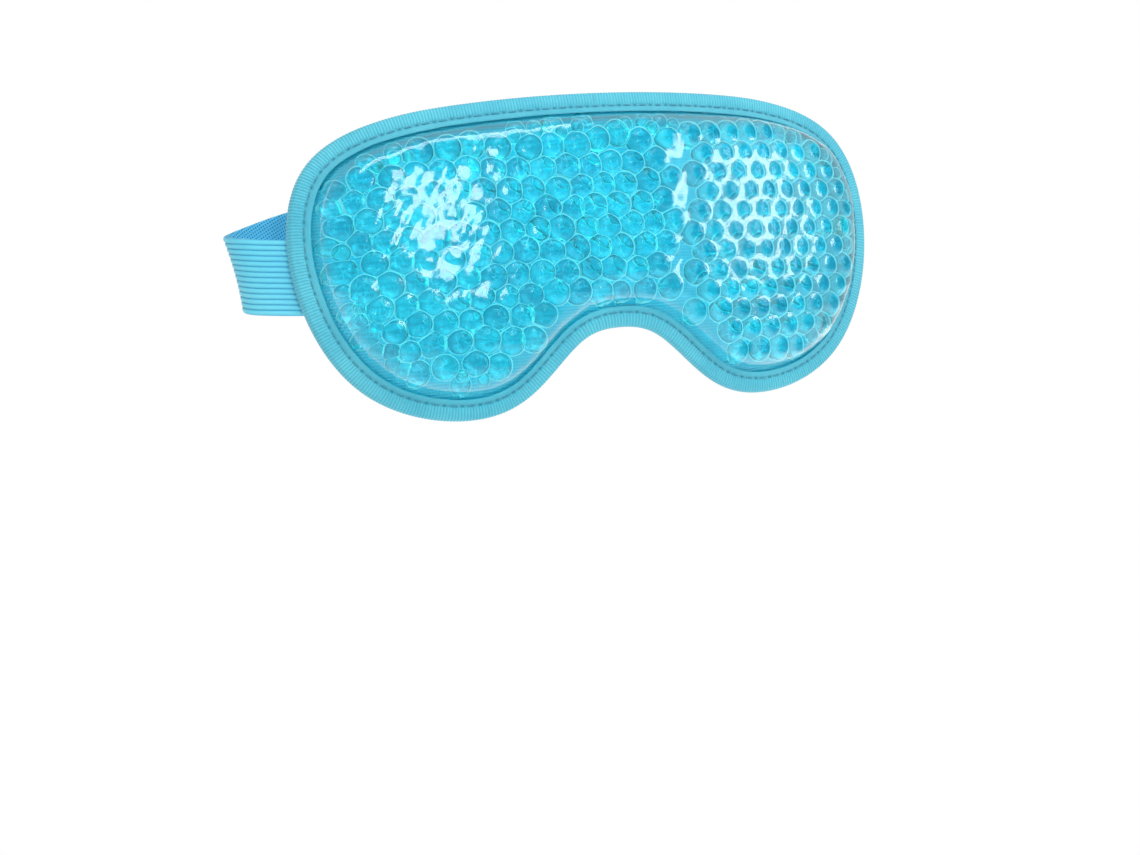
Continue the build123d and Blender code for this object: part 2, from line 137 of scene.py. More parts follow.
def depth_in(points, loop):
    a, b = loop, np.roll(loop, -1, axis=0)
    best = np.full(len(points), np.inf)
    for i in range(len(a)):
        d = b[i] - a[i]
        t = np.clip(((points - a[i]) @ d) / max(d @ d, 1e-12), 0, 1)
        q = points - a[i] - t[:, None] * d
        best = np.minimum(best, (q * q).sum(axis=1))
    best = np.sqrt(best)
    return np.where(inside(points, loop), best, -best)


def over(x, z, t):
    """Points t in front of the face side, straight in front of (x, z), in mm."""
    x, z, t = np.broadcast_arrays(np.asarray(x, float), np.asarray(z, float), np.asarray(t, float))
    return np.stack([x, R - np.sqrt((R + t) ** 2 - x * x - z * z), z], axis=-1)


# ------------------------------------------------------------------ mesh helpers
def make(name, verts, faces, mats, smooth=True, uv=None, attrs=None, face_mat=None, closed=True):
    """A mesh object from points in mm."""
    me = bpy.data.meshes.new(name)
    v = np.asarray(verts, float) * MM
    me.from_pydata(v.tolist(), [], [list(map(int, f)) for f in faces])
    me.update()
    if closed:  # every face looks outward
        bm = bmesh.new()
        bm.from_mesh(me)
        bmesh.ops.recalc_face_normals(bm, faces=bm.faces)
        bm.to_mesh(me)
        bm.free()
    if uv is not None:
        layer = me.uv_layers.new(name="UVMap")
        idx = np.zeros(len(me.loops), int)
        me.loops.foreach_get("vertex_index", idx)
        layer.data.foreach_set("uv", np.asarray(uv, float)[idx].astype(np.float32).ravel())
    for key, values in (attrs or {}).items():
        at = me.attributes.new(key, "FLOAT", "POINT")
        at.data.foreach_set("value", np.asarray(values, np.float32))
    ob = bpy.data.objects.new(name, me)
    bpy.context.scene.collection.objects.link(ob)
    for m in mats if isinstance(mats, (list, tuple)) else [mats]:
        me.materials.append(m)
    if face_mat is not None:
        me.polygons.foreach_set("material_index", np.asarray(face_mat, np.int32))
    if smooth:
        me.polygons.foreach_set("use_smooth", np.ones(len(me.polygons), bool))
    me.update()
    return ob


def grid_faces(n, m, wrap_n=False, wrap_m=False, flip=False):
    """Quads of an n by m grid of points."""
    i = np.arange(n if wrap_n else n - 1)
    j = np.arange(m if wrap_m else m - 1)
    i, j = np.meshgrid(i, j, indexing="ij")
    i2, j2 = (i + 1) % n, (j + 1) % m
    f = np.stack([i * m + j, i2 * m + j, i2 * m + j2, i * m + j2], axis=-1).reshape(-1, 4)
    return f[:, ::-1] if flip else f


def noise1(s, period, seed, octaves=3):
    """Smooth repeatable noise along a closed or open line, about -1 to 1."""
    r = np.random.default_rng(seed)
    out = np.zeros_like(s, float)
    for k in range(1, octaves * 4 + 1):
        out += r.normal() * np.sin(2 * math.pi * k * s / period + r.uniform(0, 7)) / math.sqrt(k)
    return out / 3.0


def noise2(x, z, scale, seed, n=14):
    r = np.random.default_rng(seed)
    out = np.zeros_like(x, float)
    for _ in range(n):
        a = r.uniform(0, 2 * math.pi)
        f = 2 * math.pi / (scale * r.uniform(0.6, 1.8))
        out += np.sin((x * math.cos(a) + z * math.sin(a)) * f + r.uniform(0, 7))
    return out / math.sqrt(n)


# ------------------------------------------------------------------ material helpers
class Mat:
    """A small builder for node materials."""

    def __init__(self, name):
        self.m = bpy.data.materials.new(name)
        self.m.use_nodes = True
        self.t = self.m.node_tree
        self.t.nodes.clear()
        self.out = self.t.nodes.new("ShaderNodeOutputMaterial")

    def node(self, kind, **props):
        n = self.t.nodes.new(kind)
        for k, v in props.items():
            setattr(n, k, v)
        return n

    def link(self, a, b):
        self.t.links.new(a, b)

    def math(self, op, a, b=None, clamp=False):
        n = self.node("ShaderNodeMath", operation=op, use_clamp=clamp)
        for s, v in ((0, a), (1, b)):
            if v is None:
                continue
            if isinstance(v, (int, float)):
                n.inputs[s].default_value = v
            else:
                self.link(v, n.inputs[s])
        return n.outputs[0]

    def mix(self, fac, a, b, blend="MIX"):
        n = self.node("ShaderNodeMix", data_type="RGBA", blend_type=blend)
        for s, v in ((0, fac), (6, a), (7, b)):
            if isinstance(v, (int, float)):
                n.inputs[s].default_value = v
            elif isinstance(v, tuple):
                n.inputs[s].default_value = (*v, 1.0) if len(v) == 3 else v
            else:
                self.link(v, n.inputs[s])
        return n.outputs[2]

    def coords(self, which="Object"):
        return self.node("ShaderNodeTexCoord").outputs[which]

    def xyz(self, vec):
        n = self.node("ShaderNodeSeparateXYZ")
        self.link(vec, n.inputs[0])
        return n.outputs

    def noise(self, scale, detail=3.0, rough=0.55, vec=None):
        n = self.node("ShaderNodeTexNoise")
        n.inputs["Scale"].default_value = scale
        n.inputs["Detail"].default_value = detail
        n.inputs["Roughness"].default_value = rough
        if vec is not None:
            self.link(vec, n.inputs["Vector"])
        return n.outputs["Fac"]

    def ramp(self, fac, stops):
        n = self.node("ShaderNodeValToRGB")
        self.link(fac, n.inputs[0])
        e = n.color_ramp.elements
        while len(e) < len(stops):
            e.new(0.5)
        for el, (p, c) in zip(e, stops):
            el.position = p
            el.color = (*c, 1.0) if len(c) == 3 else c
        return n.outputs[0]

    def bump(self, height, strength, distance=0.0005, normal=None):
        n = self.node("ShaderNodeBump")
        n.inputs["Strength"].default_value = strength
        n.inputs["Distance"].default_value = distance
        self.link(height, n.inputs["Height"])
        if normal is not None:
            self.link(normal, n.inputs["Normal"])
        return n.outputs[0]

    def principled(self, color=None, rough=0.5, **sockets):
        n = self.node("ShaderNodeBsdfPrincipled")
        if color is not None:
            if isinstance(color, tuple):
                n.inputs["Base Color"].default_value = (*color, 1.0)
            else:
                self.link(color, n.inputs["Base Color"])
        if isinstance(rough, (int, float)):
            n.inputs["Roughness"].default_value = rough
        else:
            self.link(rough, n.inputs["Roughness"])
        for k, v in sockets.items():
            s = n.inputs[k.replace("_", " ")]
            if hasattr(v, "is_linked") or hasattr(v, "links"):
                self.link(v, s)
            else:
                s.default_value = v
        return n

    def surface(self, sock):
        self.link(sock, self.out.inputs["Surface"])
        return self.m


def lin(h):
    """A colour given as sRGB hex, in linear light."""
    c = [int(h[i:i + 2], 16) / 255 for i in (0, 2, 4)]
    return tuple(v / 12.92 if v <= 0.04045 else ((v + 0.055) / 1.055) ** 2.4 for v in c)


# ------------------------------------------------------------------ materials
def clear_sheet(name, tint, rough, edge, base, bumps, milky_glare=None):
    """Clear vinyl: see-through, with a gloss that grows toward grazing angles, and an optional hazy layer that is
    partly the film's own milkiness and partly painted glare.
    """
    m = Mat(name)
    obj = m.coords("Object")
    b = None
    for scale, strength, dist in bumps:
        b = m.bump(m.noise(scale, 3.0, 0.5, obj), strength, dist, b)
    clear = m.node("ShaderNodeBsdfTransparent")
    clear.inputs["Color"].default_value = (*tint, 1.0)
    gloss = m.node("ShaderNodeBsdfGlossy")
    gloss.inputs["Roughness"].default_value = rough
    gloss.inputs["Color"].default_value = (1, 1, 1, 1)
    m.link(b, gloss.inputs["Normal"])
    lw = m.node("ShaderNodeLayerWeight")
    lw.inputs["Blend"].default_value = edge
    m.link(b, lw.inputs["Normal"])
    body = clear.outputs[0]
    # the hazy layer: the film's own faint milkiness, plus painted glare where film_height raises it
    if milky_glare is not None:
        touch = m.node("ShaderNodeAttribute", attribute_name="press").outputs["Fac"]
        m.link(m.mix(m.math("MULTIPLY", touch, 0.75), tint, (0.50, 0.84, 0.90)), clear.inputs["Color"])
        haze_and_glare = m.node("ShaderNodeAttribute", attribute_name="haze_and_glare").outputs["Fac"]
        milk_glare = m.principled(milky_glare, 0.25, Specular_IOR_Level=0.5)
        m.link(b, milk_glare.inputs["Normal"])
        mixed = m.node("ShaderNodeMixShader")
        m.link(haze_and_glare, mixed.inputs[0])
        m.link(body, mixed.inputs[1])
        m.link(milk_glare.outputs[0], mixed.inputs[2])
        body = mixed.outputs[0]
    top = m.node("ShaderNodeMixShader")
    amount = m.math("ADD", m.math("POWER", lw.outputs["Facing"], 2.2), base, True)
    if milky_glare is not None:
        press = m.node("ShaderNodeAttribute", attribute_name="press").outputs["Fac"]
        amount = m.math("MULTIPLY", amount, m.math("SUBTRACT", 1.0, press, True))
    m.link(amount, top.inputs[0])
    m.link(body, top.inputs[1])
    m.link(gloss.outputs[0], top.inputs[2])
    return m.surface(top.outputs[0])


def gel_material(name, deep, light, ior, ring):
    """Translucent cyan gel: refracts, with a little body colour that differs bead by bead, painted shade toward each
    outline, and painted highlights that glow: bright arcs, thin streaks and a rim.
    """
    m = Mat(name)
    tone = m.node("ShaderNodeAttribute", attribute_name="tone").outputs["Fac"]
    obj = m.coords("Object")
    stretch = m.node("ShaderNodeMapping")
    stretch.inputs["Scale"].default_value = (1.0, 1.0, 0.22)
    m.link(obj, stretch.inputs["Vector"])
    swirl = m.noise(1100.0, 1.0, 0.5, stretch.outputs[0])
    mixed = m.math("ADD", m.math("MULTIPLY", tone, 0.55), m.math("MULTIPLY", swirl, 0.6))
    col = m.ramp(mixed, [(0.30, deep), (0.85, light)])
    # painted shade: the body colour darkens toward each bead's outline as seen
    face = m.node("ShaderNodeLayerWeight")
    face.inputs["Blend"].default_value = 0.5
    facing = face.outputs["Facing"]
    shade = m.ramp(facing, [(0.06, (0, 0, 0)), (0.48, (0.9, 0.9, 0.9))])
    col = m.mix(shade, col, (0.0, 0.56, 0.63))
    # painted highlight: bright arcs (the glow attribute) and thin bright streaks lighten the colour and glow through
    # the emission below
    glow = m.node("ShaderNodeAttribute", attribute_name="glow").outputs["Fac"]
    glow_streak = m.math("ABSOLUTE", m.math("SUBTRACT", m.noise(290.0, 1.5, 0.5, obj), 0.5))
    glow_streak = m.math("SUBTRACT", 1.0, m.math("MULTIPLY", glow_streak, 30.0), True)
    where = m.math("MULTIPLY", m.math("SUBTRACT", m.noise(140.0, 1.0, 0.5, obj), 0.44), 6.0, True)
    glow = m.math("ADD", glow, m.math("MULTIPLY", m.math("MULTIPLY", glow_streak, where), 0.75))
    col = m.mix(m.math("MULTIPLY", glow, 0.8, True), col, (0.45, 1.0, 1.0))
    g = m.principled(col, 0.03, IOR=ior, Transmission_Weight=0.95)
    m.link(m.bump(m.noise(300.0, 2.0, 0.5, obj), 0.32, 0.0010), g.inputs["Normal"])
    g.inputs["Emission Color"].default_value = (0.10, 0.85, 1.0, 1.0)
    m.link(m.math("MULTIPLY", glow, 0.30), g.inputs["Emission Strength"])
    path = m.node("ShaderNodeLightPath").outputs["Is Shadow Ray"]
    veil = m.node("ShaderNodeBsdfTransparent")
    veil.inputs["Color"].default_value = (0.66, 0.985, 0.99, 1.0)
    # painted highlight: a pale ring along each bead's outline, made to glow by its own emission
    rim = m.principled((0.36, 0.95, 1.0), 0.2)
    rim.inputs["Emission Color"].default_value = (0.20, 0.88, 1.0, 1.0)
    rim.inputs["Emission Strength"].default_value = 0.35
    edge = m.node("ShaderNodeMixShader")
    m.link(m.ramp(facing, [(0.52, (0, 0, 0)), (0.72, (ring, ring, ring))]), edge.inputs[0])
    m.link(g.outputs[0], edge.inputs[1])
    m.link(rim.outputs[0], edge.inputs[2])
    mix = m.node("ShaderNodeMixShader")
    m.link(path, mix.inputs[0])
    m.link(edge.outputs[0], mix.inputs[1])
    m.link(veil.outputs[0], mix.inputs[2])
    return m.surface(mix.outputs[0])


def tape_material():
    """Fine woven tape: UV is millimetres along and across the tape."""
    m = Mat("binding_weave")
    u = m.xyz(m.coords("UV"))
    # UV is stored as mm / 100
    along = m.math("MULTIPLY", u[0], 100.0)
    across = m.math("MULTIPLY", u[1], 100.0)
    # cross ribs outside the stitch line, a finer honeycomb inside it
    ribs = m.math("SINE", m.math("ADD", m.math("MULTIPLY", along, 2 * math.pi * 540 / 574.0), math.pi / 2))
    comb = m.math("MULTIPLY", m.math("SINE", m.math("MULTIPLY", m.math("ADD", along, m.math("MULTIPLY", across, 0.9)), 2 * math.pi / 0.8)),
                  m.math("SINE", m.math("MULTIPLY", m.math("SUBTRACT", along, m.math("MULTIPLY", across, 0.9)), 2 * math.pi / 0.8)))
    outer = m.math("MULTIPLY", m.math("SUBTRACT", across, 2.4), 2.0, True)
    weave = m.math("ADD", m.math("MULTIPLY", ribs, outer), m.math("MULTIPLY", m.math("MULTIPLY", comb, 1.9), m.math("SUBTRACT", 1.0, outer)))
    w01 = m.math("ADD", m.math("MULTIPLY", weave, 0.5), 0.5, True)
    obj = m.coords("Object")
    patch = m.noise(60.0, 4.0, 0.6, obj)
    fuzz = m.noise(2600.0, 2.0, 0.6, obj)
    base = m.ramp(patch, [(0.25, lin("44c4de")), (0.75, lin("64dcee"))])
    col = m.mix(m.math("MULTIPLY", m.math("SUBTRACT", 1.0, w01, True), 0.60), base, lin("2c9ec0"))
    col = m.mix(m.math("MULTIPLY", fuzz, 0.18), col, lin("b9ecf6"))
    # painted shade: darker along the stitch line, deepest at one spot per stitch
    dip = m.node("ShaderNodeAttribute", attribute_name="dip").outputs["Fac"]
    col = m.mix(m.math("MULTIPLY", dip, 0.9, True), col, lin("1d7390"))
    h = m.math("ADD", w01, m.math("MULTIPLY", fuzz, 0.3))
    p = m.principled(col, 0.72, Specular_IOR_Level=0.35)
    p.inputs["Sheen Weight"].default_value = 0.35
    p.inputs["Sheen Roughness"].default_value = 0.4
    m.link(m.bump(h, 0.55, 0.00018), p.inputs["Normal"])
    return m.surface(p.outputs[0])


def cloth_material():
    """Finely ribbed knit back."""
    m = Mat("backing_knit")
    obj = m.coords("Object")
    x, y, z = m.xyz(obj)
    rib = m.math("SINE", m.math("MULTIPLY", z, 2 * math.pi / 0.00105))
    r01 = m.math("ADD", m.math("MULTIPLY", rib, 0.5), 0.5)
    loops = m.math("SINE", m.math("MULTIPLY", x, 2 * math.pi / 0.0008))
    l01 = m.math("ADD", m.math("MULTIPLY", loops, 0.5), 0.5)
    patch = m.noise(45.0, 4.0, 0.6, obj)
    fuzz = m.noise(3000.0, 2.0, 0.6, obj)
    base = m.ramp(patch, [(0.25, lin("08bede")), (0.8, lin("18d2f0"))])
    col = m.mix(m.math("MULTIPLY", m.math("SUBTRACT", 1.0, r01), 0.40), base, lin("0c93b8"))
    col = m.mix(m.math("MULTIPLY", fuzz, 0.22), col, lin("9fe6f3"))
    h = m.math("ADD", m.math("ADD", r01, m.math("MULTIPLY", l01, 0.35)), m.math("MULTIPLY", fuzz, 0.4))
    p = m.principled(col, 0.88, Specular_IOR_Level=0.2)
    p.inputs["Sheen Weight"].default_value = 0.5
    p.inputs["Sheen Roughness"].default_value = 0.5
    m.link(m.bump(h, 0.5, 0.00025), p.inputs["Normal"])
    return m.surface(p.outputs[0])


def strap_out_material():
    """Ribbed outer face of the elastic: UV x is mm along / 100, y is mm across / 100."""
    m = Mat("elastic_ribs")
    u = m.xyz(m.coords("UV"))
    along = m.math("MULTIPLY", u[0], 100.0)
    rib = m.node("ShaderNodeAttribute", attribute_name="rib").outputs["Fac"]
    twist = m.math("SINE", m.math("ADD", m.math("MULTIPLY", along, 2 * math.pi / 0.55), m.math("MULTIPLY", m.math("MULTIPLY", u[1], 100.0), 2.5)))
    t01 = m.math("ADD", m.math("MULTIPLY", twist, 0.5), 0.5)
    obj = m.coords("Object")
    fuzz = m.noise(2200.0, 2.0, 0.6, obj)
    patch = m.noise(50.0, 3.0, 0.6, obj)
    top = m.ramp(patch, [(0.25, lin("66e2ff")), (0.8, lin("84f0ff"))])
    # painted shade: the grooves between the ribs are darkened
    col = m.mix(m.math("SUBTRACT", 1.0, rib, True), top, lin("2aabdc"))
    col = m.mix(m.math("MULTIPLY", t01, 0.16), col, lin("4fc0e6"))
    col = m.mix(m.math("MULTIPLY", fuzz, 0.14), col, lin("b5efff"))
    h = m.math("ADD", m.math("MULTIPLY", t01, 0.6), m.math("MULTIPLY", fuzz, 0.5))
    p = m.principled(col, 0.7, Specular_IOR_Level=0.3)
    p.inputs["Sheen Weight"].default_value = 0.4
    p.inputs["Sheen Roughness"].default_value = 0.4
    m.link(m.bump(h, 0.4, 0.00015), p.inputs["Normal"])
    return m.surface(p.outputs[0])


def strap_in_material():
    """Meshed inner face of the elastic: small dark diagonal openings."""
    m = Mat("elastic_mesh_side")
    u = m.xyz(m.coords("UV"))
    along = m.math("MULTIPLY", u[0], 100.0)
    across = m.math("MULTIPLY", u[1], 100.0)
    k = 2 * math.pi / 1.9
    a = m.math("SINE", m.math("MULTIPLY", m.math("ADD", m.math("MULTIPLY", along, 0.85), across), k))
    b = m.math("SINE", m.math("MULTIPLY", m.math("SUBTRACT", m.math("MULTIPLY", along, 1.25), m.math("MULTIPLY", across, 0.8)), k))
    cell = m.math("ADD", m.math("MULTIPLY", m.math("MULTIPLY", a, b), 0.5), 0.5)
    hole = m.math("MULTIPLY", m.math("SUBTRACT", cell, 0.62), 4.0, True)
    obj = m.coords("Object")
    fuzz = m.noise(2400.0, 2.0, 0.6, obj)
    base = m.mix(m.math("MULTIPLY", fuzz, 0.3), lin("50c4f0"), lin("86e0fc"))
    col = m.mix(m.math("MULTIPLY", hole, 1.0, True), base, lin("0b5f97"))
    p = m.principled(col, 0.75, Specular_IOR_Level=0.3)
    p.inputs["Sheen Weight"].default_value = 0.25
    h = m.math("SUBTRACT", m.math("MULTIPLY", fuzz, 0.4), hole)
    m.link(m.bump(h, 0.5, 0.0002), p.inputs["Normal"])
    return m.surface(p.outputs[0])


def thread_material():
    m = Mat("thread_twist")
    obj = m.coords("Object")
    n = m.noise(3500.0, 2.0, 0.6, obj)
    col = m.ramp(n, [(0.3, lin("2a86a4")), (0.75, lin("57b4cc"))])
    p = m.principled(col, 0.5, Specular_IOR_Level=0.4)
    p.inputs["Sheen Weight"].default_value = 0.3
    m.link(m.bump(n, 0.4, 0.00012), p.inputs["Normal"])
    return m.surface(p.outputs[0])


def loop_material():
    m = Mat("brushed_loop")
    obj = m.coords("Object")
    big = m.noise(160.0, 4.0, 0.65, obj)
    fuzz = m.noise(2800.0, 3.0, 0.7, obj)
    col = m.ramp(m.math("ADD", m.math("MULTIPLY", big, 0.5), m.math("MULTIPLY", fuzz, 0.5)),
                 [(0.3, lin("3d9fbe")), (0.7, lin("84d0e4"))])
    p = m.principled(col, 0.95, Specular_IOR_Level=0.1)
    p.inputs["Sheen Weight"].default_value = 0.9
    p.inputs["Sheen Roughness"].default_value = 0.6
    m.link(m.bump(fuzz, 0.8, 0.0004), p.inputs["Normal"])
    return m.surface(p.outputs[0])


def hook_material():
    m = Mat("hook_tape")
    obj = m.coords("Object")
    x, y, z = m.xyz(obj)
    k = 2 * math.pi / 0.0007
    w = m.math("MULTIPLY", m.math("SINE", m.math("MULTIPLY", x, k)), m.math("SINE", m.math("MULTIPLY", z, k)))
    w01 = m.math("ADD", m.math("MULTIPLY", w, 0.5), 0.5)
    n = m.noise(120.0, 4.0, 0.6, obj)
    base = m.ramp(n, [(0.3, lin("4aa9c6")), (0.75, lin("6ec4da"))])
    col = m.mix(m.math("MULTIPLY", w01, 0.3), base, lin("2f87a4"))
    p = m.principled(col, 0.55, Specular_IOR_Level=0.4)
    m.link(m.bump(w01, 0.5, 0.0002), p.inputs["Normal"])
    return m.surface(p.outputs[0])


FILM = clear_sheet("clear_film", (0.92, 0.99, 0.99), 0.09, 0.36, 0.035,
                   [(120.0, 0.05, 0.0010), (420.0, 0.10, 0.0005)], lin("a6ecf8"))
FILM_IN = clear_sheet("clear_film_inside", (0.97, 1.0, 1.0), 0.15, 0.30, 0.01, [(400.0, 0.05, 0.0005)])
REAR = clear_sheet("rear_film_clear", (0.95, 1.0, 1.0), 0.15, 0.30, 0.01, [(300.0, 0.06, 0.0005)])
GEL_A = gel_material("gel_large", (0.004, 0.70, 0.76), (0.11, 0.97, 0.97), 1.26, 0.75)
GEL_B = gel_material("gel_small", (0.01, 0.74, 0.80), (0.24, 0.98, 0.98), 1.38, 0.95)
TAPE = tape_material()
CLOTH = cloth_material()
RIBS = strap_out_material()
MESH_SIDE = strap_in_material()
THREAD = thread_material()
LOOP = loop_material()
HOOK = hook_material()


# ------------------------------------------------------------------ beads, where the CAD has them
def loose_parts(node):
    """Centre and radius, in mm, of each separate ball of a node."""
    ob = nodes[node]
    me = ob.data
    n = len(me.vertices)
    co = np.zeros(n * 3)
    me.vertices.foreach_get("co", co)
    co = co.reshape(-1, 3)
    w = np.array(ob.matrix_world)
    co = co @ w[:3, :3].T + w[:3, 3]
    co = co / MM
    # join vertices that share a place, then faces that share a vertex
    key = np.round(co * 200).astype(np.int64)
    _, same = np.unique(key, axis=0, return_inverse=True)
    same = same.ravel()
    e = np.zeros(len(me.edges) * 2, int)
    me.edges.foreach_get("vertices", e)
    e = same[e.reshape(-1, 2)]
    m = same.max() + 1
    label = np.arange(m)
    while True:
        low = np.minimum(label[e[:, 0]], label[e[:, 1]])
        new = label.copy()
        np.minimum.at(new, e[:, 0], low)
        np.minimum.at(new, e[:, 1], low)
        new = new[new]
        if (new == label).all():
            break
        label = new
    lab = label[same]
    out = []
    for k in np.unique(lab):
        p = co[lab == k]
        lo, hi = p.min(axis=0), p.max(axis=0)
        out.append((*((lo + hi) / 2), float((hi - lo).max() / 2)))
    out = np.array(out)
    return out[np.lexsort((out[:, 2], out[:, 0]))]


big = loose_parts("gel_beads_front")
small = loose_parts("gel_beads_rear")


def height_over(c):
    """Height of points over the face side."""
    return np.sqrt(c[:, 0] ** 2 + (c[:, 1] - R) ** 2 + c[:, 2] ** 2) - R


big_t = height_over(big)
WALL = inset(WELD_IN, 240)


def crown(d):
    """Height of the pouch over its weld line, d inside it."""
    e = np.clip(d / CROWN_R, 0, 1)
    return np.where(d > 0, PILLOW_H - CROWN_R + CROWN_R * np.sqrt(np.maximum(1 - (1 - e) ** 2, 0)), 0.0)


def soft_max(values, k):
    top = values.max(axis=0)
    return top + np.log(np.exp((values - top) * k).sum(axis=0)) / k


def film_height(x, z):
    """Height of the front film over the face side, draped over the beads, and how hazy it looks: partly its own faint
    milkiness, partly painted glare.
    """
    x, z = np.asarray(x, float), np.asarray(z, float)
    d = depth_in(np.c_[x, z], WALL)
    contact = np.zeros(len(x))
    acc = np.zeros(len(x))
    peak = np.full(len(x), -1e9)
    k = 2.6
    tops = (big_t + big[:, 3]) * 0.45 + 0.55 * float(np.median(big_t + big[:, 3]))
    for i in range(len(big)):
        dx, dz = x - big[i, 0], z - big[i, 2]
        rho2 = dx**2 + dz**2
        near = rho2 < 13.0**2
        curve = 22.0
        h = tops[i] - rho2[near] / (2 * curve)
        old = peak[near]
        new = np.maximum(old, h)
        acc[near] = acc[near] * np.exp((old - new) * k) + np.exp((h - new) * k)
        peak[near] = new
        if big[i, 3] > 2.9:
            oval = np.sqrt((dx[near] / 2.3) ** 2 + (dz[near] / 2.6) ** 2)
            contact[near] = np.maximum(contact[near], np.clip((1.16 - oval) / 0.22, 0, 1))
    env = np.where(acc > 0, peak + np.log(np.maximum(acc, 1e-30)) / k, 0.0)
    rim = T_FRONT0 + 0.35 + np.clip(d, 0, 8) * 0.42
    env = np.maximum(env, rim)
    cap = T_FRONT0 + 0.55 + np.where(d > 0, crown(np.maximum(d, 0)), 0.0)
    kk = 2.2
    lo = np.minimum(env, cap)
    t = lo - np.log(np.exp(-(env - lo) * kk) + np.exp(-(cap - lo) * kk)) / kk + 0.3
    t = np.where(d <= 0, T_FRONT0 + 0.55, np.maximum(t, T_FRONT0 + 0.55))
    contact = contact * np.clip(d / 3, 0, 1)
    wrinkle = noise2(x, z, 7.0, 5) * 0.05 + noise2(x + 0.3 * z, z, 16.0, 9) * 0.10
    left = np.clip((-20 - x) / 30, 0, 1)
    wrinkle = wrinkle + left * 0.07 * np.abs(noise2(x - 0.6 * z, 0.3 * z, 6.5, 15))
    shore = np.exp(-(((d - 2.0) / 2.6) ** 2))
    t = t + shore * (0.16 * noise2(x, z, 9.0, 51) + 0.10 * noise2(x, z, 4.5, 52))
    t = t + np.clip(d / 5, 0, 1) * wrinkle + 0.16 * contact * np.clip((x - 5) / 25, 0.12, 1)
    # painted highlight: the hazy layer is raised over the right side and toward the right edge to stand in for the
    # lamps' glare; the faint even part with its noise is the film's own milkiness
    glare_lobe = np.exp(-(((x - 62) / 27) ** 2) - ((z - 12) / 32) ** 2)
    glare_east = np.clip((x - 14) / 14, 0, 1)
    glare_far = np.clip((x - 84) / 10, 0, 1)
    haze_and_glare = (0.004 + 0.16 * glare_lobe + 0.09 * glare_east + 0.10 * glare_far + 0.010 * (1 + noise2(x, z, 20.0, 33))) * (1 - 0.93 * contact)
    haze_and_glare = np.clip(haze_and_glare, 0.0, 0.6) * np.clip(d / 3 + 0.3, 0.3, 1)
    press = contact * (0.15 + 0.75 * np.clip((x - 0) / 35, 0, 1))
    return t, haze_and_glare, press


STEP = 0.70
gx = np.arange(-104.5, 104.6, STEP)
gz = np.arange(-51.0, 51.1, STEP)
GXX, GZZ = np.meshgrid(gx, gz, indexing="ij")
flat = np.c_[GXX.ravel(), GZZ.ravel()]
in_edge = depth_in(flat, inset(3.0, 240)) > 0
ft, film_haze_and_glare, fpress = film_height(flat[:, 0], flat[:, 1])
quads = grid_faces(len(gx), len(gz))
quads = quads[in_edge[quads].all(axis=1)]
used, inv = np.unique(quads, return_inverse=True)
inv = inv.reshape(-1, 4)
top_pts = over(flat[used, 0], flat[used, 1], ft[used])
low_pts = over(flat[used, 0], flat[used, 1], ft[used] - 0.45)
nu = len(used)
# the rim that joins the two faces of the sheet
edges = np.vstack([inv[:, [0, 1]], inv[:, [1, 2]], inv[:, [2, 3]], inv[:, [3, 0]]])
code = edges[:, 0] * nu + edges[:, 1]
back_code = edges[:, 1] * nu + edges[:, 0]
rim_e = edges[~np.isin(code, back_code)]
rim_f = np.c_[rim_e[:, 1], rim_e[:, 0], rim_e[:, 0] + nu, rim_e[:, 1] + nu]
film = make("film_front", np.vstack([top_pts, low_pts]), np.vstack([inv, inv[:, ::-1] + nu, rim_f]), [FILM, FILM_IN],
            attrs={"haze_and_glare": np.r_[film_haze_and_glare[used], film_haze_and_glare[used] * 0], "press": np.r_[fpress[used], fpress[used] * 0]},
            face_mat=np.r_[np.zeros(len(inv)), np.ones(len(inv) + len(rim_f))])
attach(film, "mask")
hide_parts("front_film")


